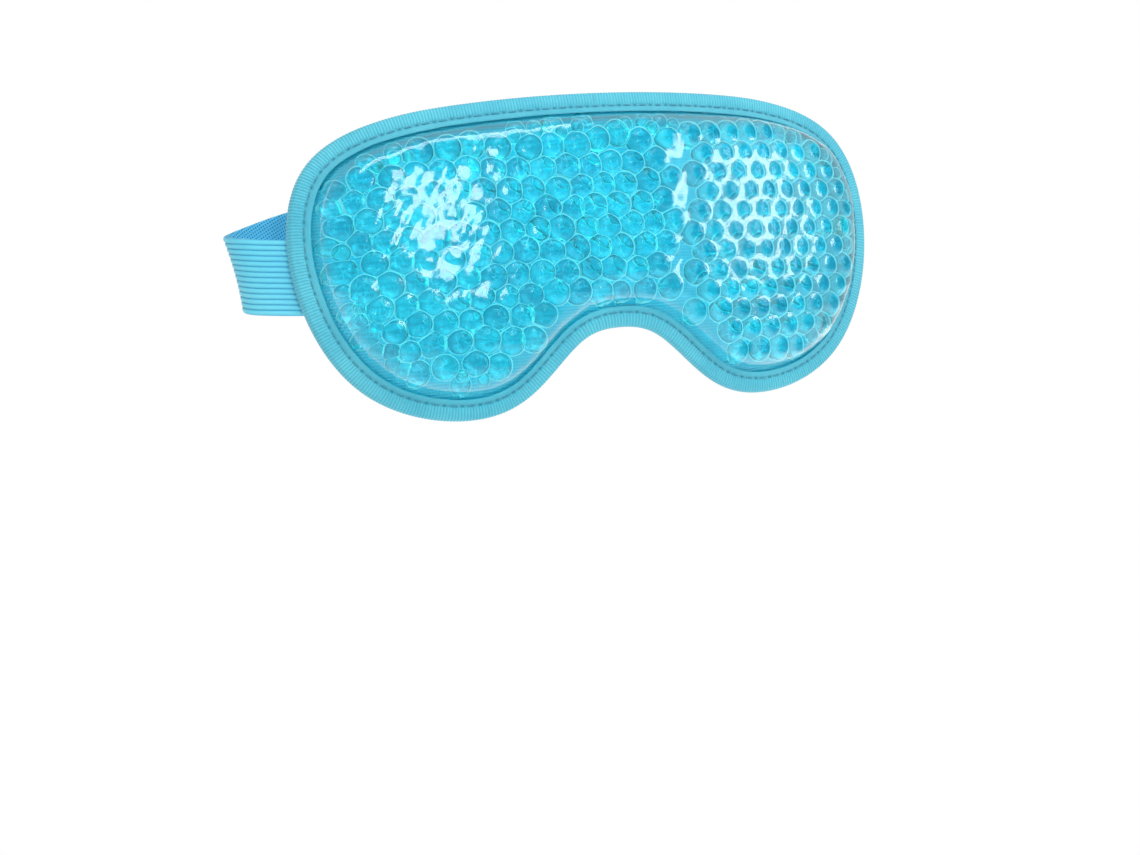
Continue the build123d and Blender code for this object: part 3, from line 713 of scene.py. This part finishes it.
# ------------------------------------------------------------------ bead meshes
def ball_group(name, balls, mat, seg, rings, node, swell, floor_t):
    """Gel balls pressed against each other and against the film in front."""
    r = np.random.default_rng(len(balls))
    th = np.linspace(0, 2 * math.pi, seg, endpoint=False)
    ph = np.linspace(0, math.pi, rings + 1)[1:-1]
    unit = [(0, -1, 0)] + [(math.sin(p) * math.cos(a), -math.cos(p), math.sin(p) * math.sin(a)) for p in ph for a in th]
    unit = np.array(unit + [(0, 1, 0)])
    m_, last = len(unit), len(unit) - 1
    base = 1 + (len(ph) - 1) * seg
    j = np.arange(seg)
    j2 = (j + 1) % seg
    cap_f = np.vstack([np.c_[0 * j, 1 + j, 1 + j2], np.c_[base + j, 0 * j + last, base + j2]])
    side_f = np.vstack([np.c_[1 + i * seg + j, 1 + (i + 1) * seg + j, 1 + (i + 1) * seg + j2, 1 + i * seg + j2]
                        for i in range(len(ph) - 1)])
    verts, faces, tone, glow = [], [], [], []
    cen = balls[:, [0, 2]].copy()
    loose = np.clip((18 - cen[:, 0]) / 10, 0.12, 1)
    cen += r.uniform(-0.55, 0.55, cen.shape) * loose[:, None]
    weight = balls[:, 3] * (1 + r.uniform(-0.17, 0.17, len(balls)) * loose)
    bead_depth = depth_in(cen, EDGE)
    for i, (x, y, z, rad) in enumerate(balls):
        q = unit * rad
        lump = 1 + 0.02 * np.sin(3.1 * unit[:, 0] + r.uniform(0, 6)) * np.cos(2.7 * unit[:, 2] + r.uniform(0, 6))
        # fuller sides, as when pressed between two sheets
        side = np.hypot(unit[:, 0], unit[:, 2])
        full = np.where(side > 1e-6, np.maximum(side, 1e-6) ** -0.06, 1.0)
        wide = swell * (1 + r.uniform(-0.10, 0.05) * loose[i]) + 0.24 * min(max((15.0 - bead_depth[i]) / 7.0, 0.0), 1.0)
        flat_ = q[:, [0, 2]] * (wide * lump * full)[:, None]
        lack = min(max((16.0 - bead_depth[i]) / 6.0, 0.0), 1.0)
        if lack > 0:
            k_ = int(np.argmin(((EDGE - cen[i]) ** 2).sum(axis=1)))
            outward = -INWARD[k_]
            ahead = np.maximum(flat_ @ outward, 0)
            flat_ = flat_ + (ahead * 0.38 * lack)[:, None] * outward
        near = np.linalg.norm(cen - cen[i], axis=1)
        for n_ in np.nonzero((near < 4 * rad) & (near > 0.1))[0]:
            dirn = (cen[n_] - cen[i]) / near[n_]
            gap_ = abs(height_over(balls[n_:n_ + 1])[0] - height_over(balls[i:i + 1])[0])
            if gap_ > rad * 1.2:
                continue
            lim = near[n_] * weight[i] / (weight[i] + weight[n_]) - 0.04 + 0.22 * loose[i] * (weight[i] > weight[n_])
            along = flat_ @ dirn
            # slide each point back to the shared plane, softly
            over_ = np.where(along > lim * 0.90, along - (lim - lim * 0.10 * np.exp(-np.maximum(along - lim * 0.90, 0) / (lim * 0.10))), 0)
            flat_ = flat_ - np.maximum(over_, 0)[:, None] * dirn
        t = height_over(balls[i:i + 1])[0] - q[:, 1] * (1 + 0 * lump)
        vx, vz = cen[i, 0] + flat_[:, 0], cen[i, 1] + flat_[:, 1]
        tops_, _, _ = film_height_fast(vx, vz)
        room_ = tops_ - 0.52
        t = np.minimum(t, room_)
        t = np.maximum(t, floor_t)
        verts.append(over(vx, vz, t))
        k = i * m_
        faces += (cap_f + k).tolist() + (side_f + k).tolist()
        tone.append(np.full(m_, r.uniform(0, 1)))
        # painted highlight: bright arcs on each bead's front half, kept as glow for the gel to brighten and make glow
        ang = np.arctan2(unit[:, 2], unit[:, 0])
        a0, a1 = r.uniform(-2.7, -0.5), r.uniform(0.6, 2.6)
        arc_ = np.exp(-(((side - 0.70) / 0.13) ** 2)) * np.maximum(np.cos(ang - a0), 0) ** 2
        arc_ = arc_ + 0.6 * np.exp(-(((side - 0.45) / 0.10) ** 2)) * np.maximum(np.cos(ang - a1), 0) ** 3
        glow.append(np.where(unit[:, 1] < 0.2, arc_ * r.uniform(0.35, 1.0), 0))
    ob = make(name, np.vstack(verts), faces, mat, attrs={"tone": np.concatenate(tone), "glow": np.concatenate(glow)})
    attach(ob, "mask")
    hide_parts(node)
    return ob


HT = np.where(in_edge, ft, T_FRONT0 + 0.55).reshape(len(gx), len(gz))


def film_height_fast(x, z):
    """The film's height read off its own grid."""
    i = np.clip((x - gx[0]) / STEP, 0, len(gx) - 1.001)
    j = np.clip((z - gz[0]) / STEP, 0, len(gz) - 1.001)
    i0, j0 = i.astype(int), j.astype(int)
    a, b = i - i0, j - j0
    h = (HT[i0, j0] * (1 - a) * (1 - b) + HT[i0 + 1, j0] * a * (1 - b)
         + HT[i0, j0 + 1] * (1 - a) * b + HT[i0 + 1, j0 + 1] * a * b)
    return h, None, None


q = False
ball_group("gel_large_beads", big, GEL_A, 16 if q else 26, 9 if q else 14, "gel_beads_front", 1.27, T_REAR1 + 0.15)
ball_group("gel_small_beads", small, GEL_B, 14 if q else 22, 8 if q else 13, "gel_beads_rear", 1.25, T_REAR1 + 0.1)

# rear film keeps its CAD shape
nodes["rear_film"].data.materials.clear()
nodes["rear_film"].data.materials.append(REAR)

# ------------------------------------------------------------------ ribbed cloth back
cx = np.arange(-106.5, 106.6, 2.4)
cz = np.arange(-54.0, 54.1, 0.24 if not q else 0.6)
CX, CZ = np.meshgrid(cx, cz, indexing="ij")
m2 = np.c_[CX.ravel(), CZ.ravel()]
# squeeze the grid's columns onto the outline so that its rim is clean
rim_loop = inset(2.0, 720)
cols_top, cols_bot = [], []
lines = []
for x in cx:
    zs = []
    a, b = rim_loop, np.roll(rim_loop, -1, axis=0)
    hit = (a[:, 0] - x) * (b[:, 0] - x) < 0
    for i in np.nonzero(hit)[0]:
        t = (x - a[i, 0]) / (b[i, 0] - a[i, 0])
        zs.append(a[i, 1] + t * (b[i, 1] - a[i, 1]))
    lines.append((min(zs), max(zs)) if len(zs) >= 2 else None)
ok = [i for i, s in enumerate(lines) if s]
cx2 = cx[ok]
NZ = 110 if q else 430
front, back = [], []
for i in ok:
    lo, hi = lines[i]
    zz = np.linspace(lo, hi, NZ)
    xx = np.full(NZ, cx[i])
    rib = 0.13 * (0.5 + 0.5 * np.cos(2 * math.pi * zz / 0.95))
    fade = np.clip(np.minimum(zz - lo, hi - zz) / 2.0, 0, 1)
    pucker = 0.10 * noise2(xx, zz, 11.0, 21) * fade
    back.append(over(xx, zz, 0.0 + 0.14 - rib * fade + pucker * 0.5))
    front.append(over(xx, zz, BACK_T - 0.05 + 0 * zz))
back, front = np.array(back), np.array(front)
n, mcols = back.shape[0], back.shape[1]
V = np.vstack([back.reshape(-1, 3), front.reshape(-1, 3)])
F = list(grid_faces(n, mcols, flip=True)) + list(grid_faces(n, mcols, flip=False) + n * mcols)
off = n * mcols
for j in range(mcols - 1):  # close the two ends
    F.append((j, j + 1, off + j + 1, off + j))
    e = (n - 1) * mcols + j
    F.append((e + 1, e, off + e, off + e + 1))
for i in range(n - 1):
    a, b = i * mcols, (i + 1) * mcols
    F.append((b, a, off + a, off + b))
    a, b = a + mcols - 1, b + mcols - 1
    F.append((a, b, off + b, off + a))
cloth = make("cloth_back", V, F, CLOTH)
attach(cloth, "mask")
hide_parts("backing_cloth")

# ------------------------------------------------------------------ binding tape
NE = 720 if q else 2160
RIBS_ROUND = NE // 4
EDGE_N = evenly(EDGE, NE)
tn = np.roll(EDGE_N, -2, axis=0) - np.roll(EDGE_N, 2, axis=0)
tn /= np.linalg.norm(tn, axis=1)[:, None]
IN_N = np.c_[-tn[:, 1], tn[:, 0]] * (1 if _a > 0 else -1)
PERIM = length_of(EDGE)
s_along = np.linspace(0, PERIM, NE, endpoint=False)
stitch_count = int(round(length_of(inset(STITCH_IN, 2400)) / STITCH_PITCH))
# the stitch phase at each place of the edge: 0 at the middle of a stitch
inner = EDGE_N + IN_N * STITCH_IN
seg = np.linalg.norm(np.roll(inner, -1, axis=0) - inner, axis=1)
arc = np.r_[0, np.cumsum(seg)[:-1]]
phase = arc / seg.sum() * stitch_count
# profile of the folded tape: (inset from the edge, height, outward) from the front inner edge round to the back one
t0, t1 = T_TAPE
prof = []
for d in np.linspace(TAPE_W, 0.9, 20):
    prof.append((d, t1, 1.0, 90.0))
mid, half = (t0 + t1) / 2, (t1 - t0) / 2
for a in np.linspace(80, -80, 9):
    prof.append((0.9 - 0.9 * math.cos(math.radians(a)), mid + half * math.sin(math.radians(a)), 0.0, a))
for d in np.linspace(0.9, TAPE_W, 9):
    prof.append((d, t0, -1.0, -90.0))
# folded hem on the inside so that the tape has its thickness
for d in (TAPE_W - 0.05, 4.0, 1.6):
    prof.append((d, t0 + 0.62, -0.5, 0.0))
for d in (1.6, 4.0, TAPE_W - 0.05):
    prof.append((d, t1 - 0.62, 0.5, 0.0))
prof = np.array(prof)
np_ = len(prof)
P = np.zeros((NE, np_, 3))
UVS = np.zeros((NE, np_, 2))
DIP_SHADE = np.zeros((NE, np_))
width = np.r_[0, np.cumsum(np.linalg.norm(np.diff(prof[:, :2], axis=0), axis=1))]
wob = 0.10 * noise1(s_along, PERIM, 3, 6) + 0.08 * noise1(s_along, PERIM, 8, 16)
cross = 0.055 * np.cos(2 * math.pi * np.arange(NE) / 4)
for k, (d, t, face, lean_) in enumerate(prof):
    dd = d + (wob if d > TAPE_W - 1.0 else wob * 0.0)
    tt = np.full(NE, t)
    if abs(face) == 1.0:
        # the stitch line is pulled in, most where each stitch sits, and the edges puff up
        line = np.exp(-((d - STITCH_IN) / 0.75) ** 2)
        hole = 0.5 + 0.5 * np.cos(2 * math.pi * (phase - 0.5))
        dip = line * (0.22 + 0.22 * hole)
        puff = 0.16 * math.exp(-((d - 2.6) / 1.4) ** 2) - 0.10 * math.exp(-((d - 6.9) / 0.5) ** 2)
        ripple = 0.07 * np.sin(2 * math.pi * phase * 2 + d) * math.exp(-((d - 2.6) / 1.8) ** 2)
        tt = tt + face * (puff + ripple - dip + 0.05 * noise1(s_along, PERIM, 30 + k // 4, 20))
        # painted shade along the stitch line, deepest at one spot per stitch
        DIP_SHADE[:, k] = math.exp(-((d - STITCH_IN) / 0.42) ** 2) * (0.16 + 0.84 * hole**7)
    if abs(face) != 0.5 and d < 4.5:
        dd = dd - cross * math.cos(math.radians(lean_))
        tt = tt + cross * math.sin(math.radians(lean_))
    base = EDGE_N + IN_N * dd[:, None] if np.ndim(dd) else EDGE_N + IN_N * dd
    P[:, k] = over(base[:, 0], base[:, 1], tt)
    UVS[:, k, 0] = s_along / 100
    UVS[:, k, 1] = width[k] / 100
F = grid_faces(NE, np_, wrap_n=True, wrap_m=True)
tape = make("binding", P.reshape(-1, 3), F, TAPE, uv=UVS.reshape(-1, 2), attrs={"dip": DIP_SHADE.ravel()})
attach(tape, "mask")
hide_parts("binding_tape")


# ------------------------------------------------------------------ threads
def threads(name, runs, radius, body, replaces, seg=8, rise=0.18):
    """Short stitches: each run is (point, point, outward normal) in mm, bowed a little and with sunk ends."""
    verts, faces = [], []
    n = 9
    for a, b, out in runs:
        a, b, out = np.array(a, float), np.array(b, float), np.array(out, float)
        out /= np.linalg.norm(out)
        run = b - a
        side = np.cross(run, out)
        side /= np.linalg.norm(side)
        k = len(verts)
        for i in range(n):
            s = i / (n - 1)
            bow = math.sin(math.pi * s)
            c = a + run * s + out * (rise * bow - 0.22 * (1 - bow) ** 3)
            rr = radius * (0.45 + 0.55 * bow ** 0.35 if 0 < s < 1 else 0.35)
            twist = 0.10 * radius * math.sin(s * 22)
            for j in range(seg):
                t = 2 * math.pi * j / seg
                verts.append(c + side * math.cos(t) * (rr + twist) + out * math.sin(t) * (rr * 0.8))
        for i in range(n - 1):
            for j in range(seg):
                p = k + i * seg + j
                q_ = k + i * seg + (j + 1) % seg
                faces.append((p, q_, q_ + seg, p + seg))
        faces.append(tuple(k + j for j in range(seg))[::-1])
        faces.append(tuple(k + (n - 1) * seg + j for j in range(seg)))
    ob = make(name, np.array(verts), faces, THREAD)
    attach(ob, body)
    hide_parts(*replaces)
    return ob


line = inset(STITCH_IN, 7200)
runs = []
jit = np.random.default_rng(3)
for i in range(stitch_count):
    k = i * 7200 / stitch_count
    half_run = 7200 / stitch_count * (0.27 + jit.uniform(-0.02, 0.02))
    for face, t in ((1, T_TAPE[1] - 0.16), (-1, T_TAPE[0] + 0.16)):
        shift = 0 if face > 0 else 0.5 * 7200 / stitch_count
        p = line[int(k + shift - half_run) % 7200]
        r_ = line[int(k + shift + half_run) % 7200]
        a = over(p[0], p[1], t)
        b = over(r_[0], r_[1], t)
        mid_ = (a + b) / 2
        nrm = np.array([mid_[0], mid_[1] - R, mid_[2]]) * face
        runs.append((a, b, nrm))
threads("binding_running_stitch", runs, 0.21, "mask", ["binding_stitches"])


# ------------------------------------------------------------------ elastic strap halves
def strap_frames(side, end_x, end_y, step):
    line_ = np.array((LEFT_LINE if side < 0 else RIGHT_LINE)
                     + [((end_x if side < 0 else -end_x), 48.0, CLOSURE_Z, 0)], float)
    line_[-2:, 1] = end_y
    line_[-3, 1] = (line_[-3, 1] + end_y) / 2
    h = np.sqrt(np.linalg.norm(np.diff(line_[:, :3], axis=0), axis=1))
    m = len(line_)
    a, b = np.zeros((m, m)), np.zeros((m, 4))
    a[0, 0] = a[-1, -1] = 1
    for i in range(1, m - 1):
        a[i, i - 1], a[i, i], a[i, i + 1] = h[i - 1], 2 * (h[i - 1] + h[i]), h[i]
        b[i] = 6 * ((line_[i + 1] - line_[i]) / h[i] - (line_[i] - line_[i - 1]) / h[i - 1])
    second = np.linalg.solve(a, b)
    dense = []
    for i in range(m - 1):
        for t in np.linspace(0, 1, 60, endpoint=False):
            u, v, w = (1 - t) * h[i], t * h[i], h[i]
            dense.append(second[i] * u**3 / (6 * w) + second[i + 1] * v**3 / (6 * w)
                         + (line_[i] / w - second[i] * w / 6) * u
                         + (line_[i + 1] / w - second[i + 1] * w / 6) * v)
    dense = np.array(dense + [line_[-1]])
    along = np.r_[0, np.cumsum(np.linalg.norm(np.diff(dense[:, :3], axis=0), axis=1))]
    cnt = int(along[-1] / step)
    at = np.linspace(0, along[-1], cnt + 1)
    p = np.stack([np.interp(at, along, dense[:, k]) for k in range(4)], axis=1)
    run = np.gradient(p[:, :3], axis=0)
    run /= np.linalg.norm(run, axis=1)[:, None]
    w = np.array([0, 0, 1.0]) - run[:, 2:3] * run
    w /= np.linalg.norm(w, axis=1)[:, None]
    nrm = np.cross(run, w)
    nrm = np.where((nrm[:, :1] > 0) & (np.abs(p[:, 3:4]) > 1e-9), -nrm, nrm)
    ang = np.radians(p[:, 3:4])
    w = w * np.cos(ang) + nrm * np.sin(ang)
    out = np.cross(run, w)  # one steady side of the strap
    o = p[:, :3].copy()
    if side > 0:
        for arr in (o, run, w, out):
            arr[:, 0] *= -1
    return o, run, w, out, at


def strap(name, side, end_x, end_y, node):
    o, run, w, out, at = strap_frames(side, end_x, end_y, 2.2 if q else 0.9)
    # the ribbed face looks away from the loop's inside: to -Y where it leaves the mask
    flip = np.sign(out[8, 1]) or 1
    out = out * -flip
    ribs = 14
    per = 10
    cols, nv = [], ribs * per
    across = np.linspace(-STRAP_W / 2, STRAP_W / 2, nv + 1)
    rib = np.abs(np.sin(math.pi * ribs * (across + STRAP_W / 2) / STRAP_W)) ** 0.55
    outer_h = STRAP_T / 2 - 0.42 + 0.52 * rib
    inner = np.linspace(STRAP_W / 2, -STRAP_W / 2, 28)
    prof_w = np.r_[across, inner]
    prof_h = np.r_[outer_h, np.full(28, -STRAP_T / 2) + 0.04 * np.cos(np.linspace(0, 40, 28))]
    ribv = np.r_[rib, np.zeros(28)]
    n, m = len(o), len(prof_w)
    edge_wave = 0.10 * noise1(at, at[-1] * 1.3, 4, 5)
    pucker = 0.05 * noise1(at, at[-1], 14, 12)
    V = (o[:, None] + w[:, None] * (prof_w[None, :, None] * (1 + 0.004 * edge_wave[:, None, None]))
         + out[:, None] * (prof_h[None, :, None] + pucker[:, None, None] * 0.6))
    UV = np.stack([np.repeat(at[:, None], m, 1) / 100, np.repeat(prof_w[None], n, 0) / 100], axis=-1)
    F = list(grid_faces(n, m, wrap_m=True))
    fm = []
    cell = np.tile(np.arange(m), n - 1)
    fm = np.where((cell >= nv + 1), 1, 0)
    F = [tuple(f) for f in F]
    F.append(tuple(range(m))[::-1])
    F.append(tuple((n - 1) * m + j for j in range(m)))
    fm = np.r_[fm, 0, 0]
    ob = make(name, V.reshape(-1, 3), F, [RIBS, MESH_SIDE], uv=UV.reshape(-1, 2),
              attrs={"rib": np.tile(ribv, n)}, face_mat=fm)
    if side < 0:
        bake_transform(ob)
    else:
        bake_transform(ob)
    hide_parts(node)
    return ob


strap("elastic_left", -1, -23.5, CLOSURE_Y + STRAP_T + 0.1, "strap_left")
strap("elastic_right", 1, -21.0, CLOSURE_Y, "strap_right")

# stitching at the sewn ends: a boxed zigzag on the strap's rear face
for side, nm, node in ((-1, "end_stitch_left", "strap_end_stitches_left"), (1, "end_stitch_right", "strap_end_stitches_right")):
    runs = []
    for c0 in (97.0, 101.0):
        y0 = float(np.interp(-c0, [-104.0, -95.0], [19.15, 16.1])) + STRAP_T / 2 + 0.22
        for j in range(10):
            z0 = -11.8 + j * 2.35
            dx = 0.9 if j % 2 else -0.9
            runs.append(((side * (c0 - dx), y0 - 0.34 * dx, z0), (side * (c0 + dx), y0 + 0.34 * dx, z0 + 2.1), (side * -0.33, 1, 0)))
    threads(nm, runs, 0.25, "mask", [node])

# ------------------------------------------------------------------ hook and loop
PATCH_Y = CLOSURE_Y + STRAP_T / 2 + 0.05
PATCH_T, PATCH_W, PATCH_X = 1.2, 22.0, (-19.0, 31.0)
TAB_Y, TAB_T, TAB_W, TAB_X = PATCH_Y + 1.2 + 0.35, 1.2, 23.0, (-33.5, 22.0)


def plate(name, x0, x1, y0, y1, z0, z1, radii, mat, rear, frontf, step, body, node, hooks=None):
    """A soft-edged rounded plate with its own surface on each face. radii is (at x0, at x1)."""
    zc, hz = (z0 + z1) / 2, (z1 - z0) / 2
    xs = [x0]
    ra, rb = radii
    xs = np.unique(np.r_[x0 + ra - ra * np.cos(np.linspace(0, math.pi / 2, 9)), np.arange(x0 + ra, x1 - rb, step),
                         x1 - rb + rb * np.sin(np.linspace(0, math.pi / 2, 11))])
    def half_at(x):
        if x < x0 + ra and ra > 0:
            return hz - ra + math.sqrt(max(ra * ra - (x0 + ra - x) ** 2, 0))
        if x > x1 - rb and rb > 0:
            return hz - rb + math.sqrt(max(rb * rb - (x - x1 + rb) ** 2, 0))
        return hz
    M = max(12, int((z1 - z0) / step))
    A, B = [], []
    for x in xs:
        hh = max(half_at(x), 0.3)
        zz = zc + np.linspace(-hh, hh, M)
        edge = np.minimum(hh - np.abs(zz - zc), min(x - x0, x1 - x) + 0.001)
        soft = 0.28 * np.exp(-np.clip(edge, 0, 9) / 0.35)
        xx = np.full(M, x)
        B.append(np.stack([xx, y1 - soft - rear(xx, zz), zz], axis=1))
        A.append(np.stack([xx, y0 + soft + frontf(xx, zz), zz], axis=1))
    A, B = np.array(A), np.array(B)
    n, m = A.shape[:2]
    V = np.vstack([A.reshape(-1, 3), B.reshape(-1, 3)])
    F = [tuple(f) for f in grid_faces(n, m, flip=False)] + [tuple(f) for f in grid_faces(n, m, flip=True) + n * m]
    off_ = n * m
    for j in range(m - 1):
        F.append((j + 1, j, off_ + j, off_ + j + 1))
        e = (n - 1) * m + j
        F.append((e, e + 1, off_ + e + 1, off_ + e))
    for i in range(n - 1):
        a, b = i * m, (i + 1) * m
        F.append((a, b, off_ + b, off_ + a))
        a, b = a + m - 1, b + m - 1
        F.append((b, a, off_ + a, off_ + b))
    if hooks is not None:
        V, F = hooks(V, F)
    ob = make(name, V, F, mat)
    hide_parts(node)
    return ob


flat0 = lambda x, z: 0 * x
pile = lambda x, z: 0.06 + 0.05 * noise2(x, z, 1.6, 41, 20) + 0.03 * noise2(x, z, 0.8, 42, 20)
loop_ob = plate("loop_pad", PATCH_X[0], PATCH_X[1], PATCH_Y, PATCH_Y + PATCH_T, CLOSURE_Z - PATCH_W / 2,
                CLOSURE_Z + PATCH_W / 2, (2.0, 2.0), LOOP, pile, flat0, 0.8 if q else 0.4, "closure", "loop_patch")
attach(loop_ob, "closure")


def hook_field(V, F):
    """Rows of small hooks on the tab's inner face."""
    extra, faces = [], []
    k = len(V)
    for i, x in enumerate(np.arange(-18.5, 20.0, 1.25)):
        for j, z in enumerate(np.arange(-9.8, 9.9, 1.25)):
            if x > 14 and abs(z) > 9.5 - (x - 14) * 0.6:
                continue
            lean = 0.22 * (1 if i % 2 else -1)
            rings_ = [((0, 0, 0), 0.20), ((0, -0.14, 0), 0.15), ((lean * 0.6, -0.24, 0), 0.13), ((lean * 1.5, -0.22, 0), 0.07)]
            for (dx, dy, dz), rr in rings_:
                for a in range(5):
                    t = 2 * math.pi * a / 5
                    extra.append((x + dx + rr * math.cos(t), TAB_Y + 0.02 + dy, CLOSURE_Z + z + dz + rr * math.sin(t)))
            for g in range(3):
                for a in range(5):
                    p = k + g * 5 + a
                    q_ = k + g * 5 + (a + 1) % 5
                    faces.append((p, q_, q_ + 5, p + 5))
            faces.append(tuple(k + 15 + a for a in range(5)))
            faces.append(tuple(k + a for a in range(5))[::-1])
            k += 20
    return np.vstack([V, np.array(extra)]), F + faces


ribbed = lambda x, z: 0.03 + 0.03 * np.cos(2 * math.pi * z / 1.1)
tab_ob = plate("hook_strip", TAB_X[0], TAB_X[1], TAB_Y, TAB_Y + TAB_T, CLOSURE_Z - TAB_W / 2, CLOSURE_Z + TAB_W / 2,
               (0.4, 6.0), HOOK, ribbed, flat0, 0.8 if q else 0.4, "hook", "hook_tab", hooks=hook_field)
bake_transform(tab_ob)

runs = []
for x0 in np.arange(-15.0, 28.0, 4.0):
    for z0 in (-9.3, 9.3):
        y = CLOSURE_Y - STRAP_T / 2 - 0.12
        runs.append(((x0 - 1.4, y, CLOSURE_Z + z0), (x0 + 1.4, y, CLOSURE_Z + z0), (0, -1, 0)))
for z0 in np.arange(-6.0, 6.1, 4.0):
    for x0 in (-17.4, 29.4):
        y = CLOSURE_Y - STRAP_T / 2 - 0.12
        runs.append(((x0, y, CLOSURE_Z + z0 - 1.4), (x0, y, CLOSURE_Z + z0 + 1.4), (0, -1, 0)))
threads("loop_pad_stitch", runs, 0.24, "closure", ["loop_patch_stitches"])
runs = []
for x0 in (-31.6, -25.6):
    for z0 in np.arange(-9.0, 9.1, 3.6):
        y = TAB_Y + TAB_T + 0.05
        runs.append(((x0, y, CLOSURE_Z + z0 - 1.4), (x0, y, CLOSURE_Z + z0 + 1.4), (0, 1, 0)))
threads("hook_lap_stitch", runs, 0.24, "closure", ["hook_tab_stitches"])

# ------------------------------------------------------------------ stage, light, camera
def emissive(name, strength, color=(1, 1, 1)):
    m = Mat(name)
    e = m.node("ShaderNodeEmission")
    e.inputs["Color"].default_value = (*color, 1)
    e.inputs["Strength"].default_value = strength
    return m.surface(e.outputs[0])


# a pale sweep: the floor, curving up behind
sweep = []
for y, z in [(-3.0, -0.8), (2.5, -0.8)] + [
    (2.5 + 1.2 * math.sin(a), 0.4 - 1.2 * math.cos(a)) for a in np.linspace(0.1, math.pi / 2, 14)
] + [(3.7, 4.0)]:
    sweep.append([(-5.0, y, z), (5.0, y, z)])
sv = np.array(sweep).reshape(-1, 3) / MM
floor = make("studio_sweep", sv, grid_faces(len(sweep), 2), emissive("pale_floor", 1.0), closed=False)

world = bpy.data.worlds.new("studio")
bpy.context.scene.world = world
world.use_nodes = True
bg = world.node_tree.nodes["Background"]
bg.inputs[0].default_value = (1.0, 1.0, 1.0, 1.0)
bg.inputs[1].default_value = 0.35


def soft_box(name, direction, distance, size, power, target=(0, 0, 0)):
    light = bpy.data.lights.new(name, "AREA")
    light.shape = "RECTANGLE"
    light.size, light.size_y = size
    light.energy = power
    ob = bpy.data.objects.new(name, light)
    bpy.context.scene.collection.objects.link(ob)
    d = Vector(direction).normalized()
    ob.location = Vector(target) + d * distance
    ob.rotation_euler = d.to_track_quat("Z", "Y").to_euler()
    return ob


soft_box("key_box", (-0.09, -0.965, 0.235), 1.0, (0.16, 0.30), 1.7)
soft_box("side_box", (0.72, -0.67, 0.17), 1.0, (0.20, 0.34), 1.5)
soft_box("top_box", (-0.1, -0.55, 0.83), 1.2, (0.9, 0.5), 7.6)

cam = bpy.data.cameras.new("camera")
cam.sensor_fit = "HORIZONTAL"
cam.sensor_width = 36.0
cam.lens = 2078.0 * 36.0 / 1140.0
cam.clip_start = 0.01
cam.clip_end = 50.0
cam_ob = bpy.data.objects.new("camera", cam)
bpy.context.scene.collection.objects.link(cam_ob)
right = Vector((0.923283, -0.368490, -0.108456))
up = Vector((0.094532, -0.055692, 0.993963))
back_ = Vector((-0.372306, -0.927962, -0.016585))
M = Matrix(((right.x, up.x, back_.x), (right.y, up.y, back_.y), (right.z, up.z, back_.z))).to_4x4()
M.translation = Vector((-0.282141, -0.647713, -0.071076))
cam_ob.matrix_world = M
bpy.context.scene.camera = cam_ob
bpy.context.scene.view_settings.view_transform = "Standard"
bpy.context.scene.view_settings.look = "None"
bpy.context.scene.cycles.max_bounces = 16
bpy.context.scene.cycles.transmission_bounces = 10
bpy.context.scene.cycles.transparent_max_bounces = 24
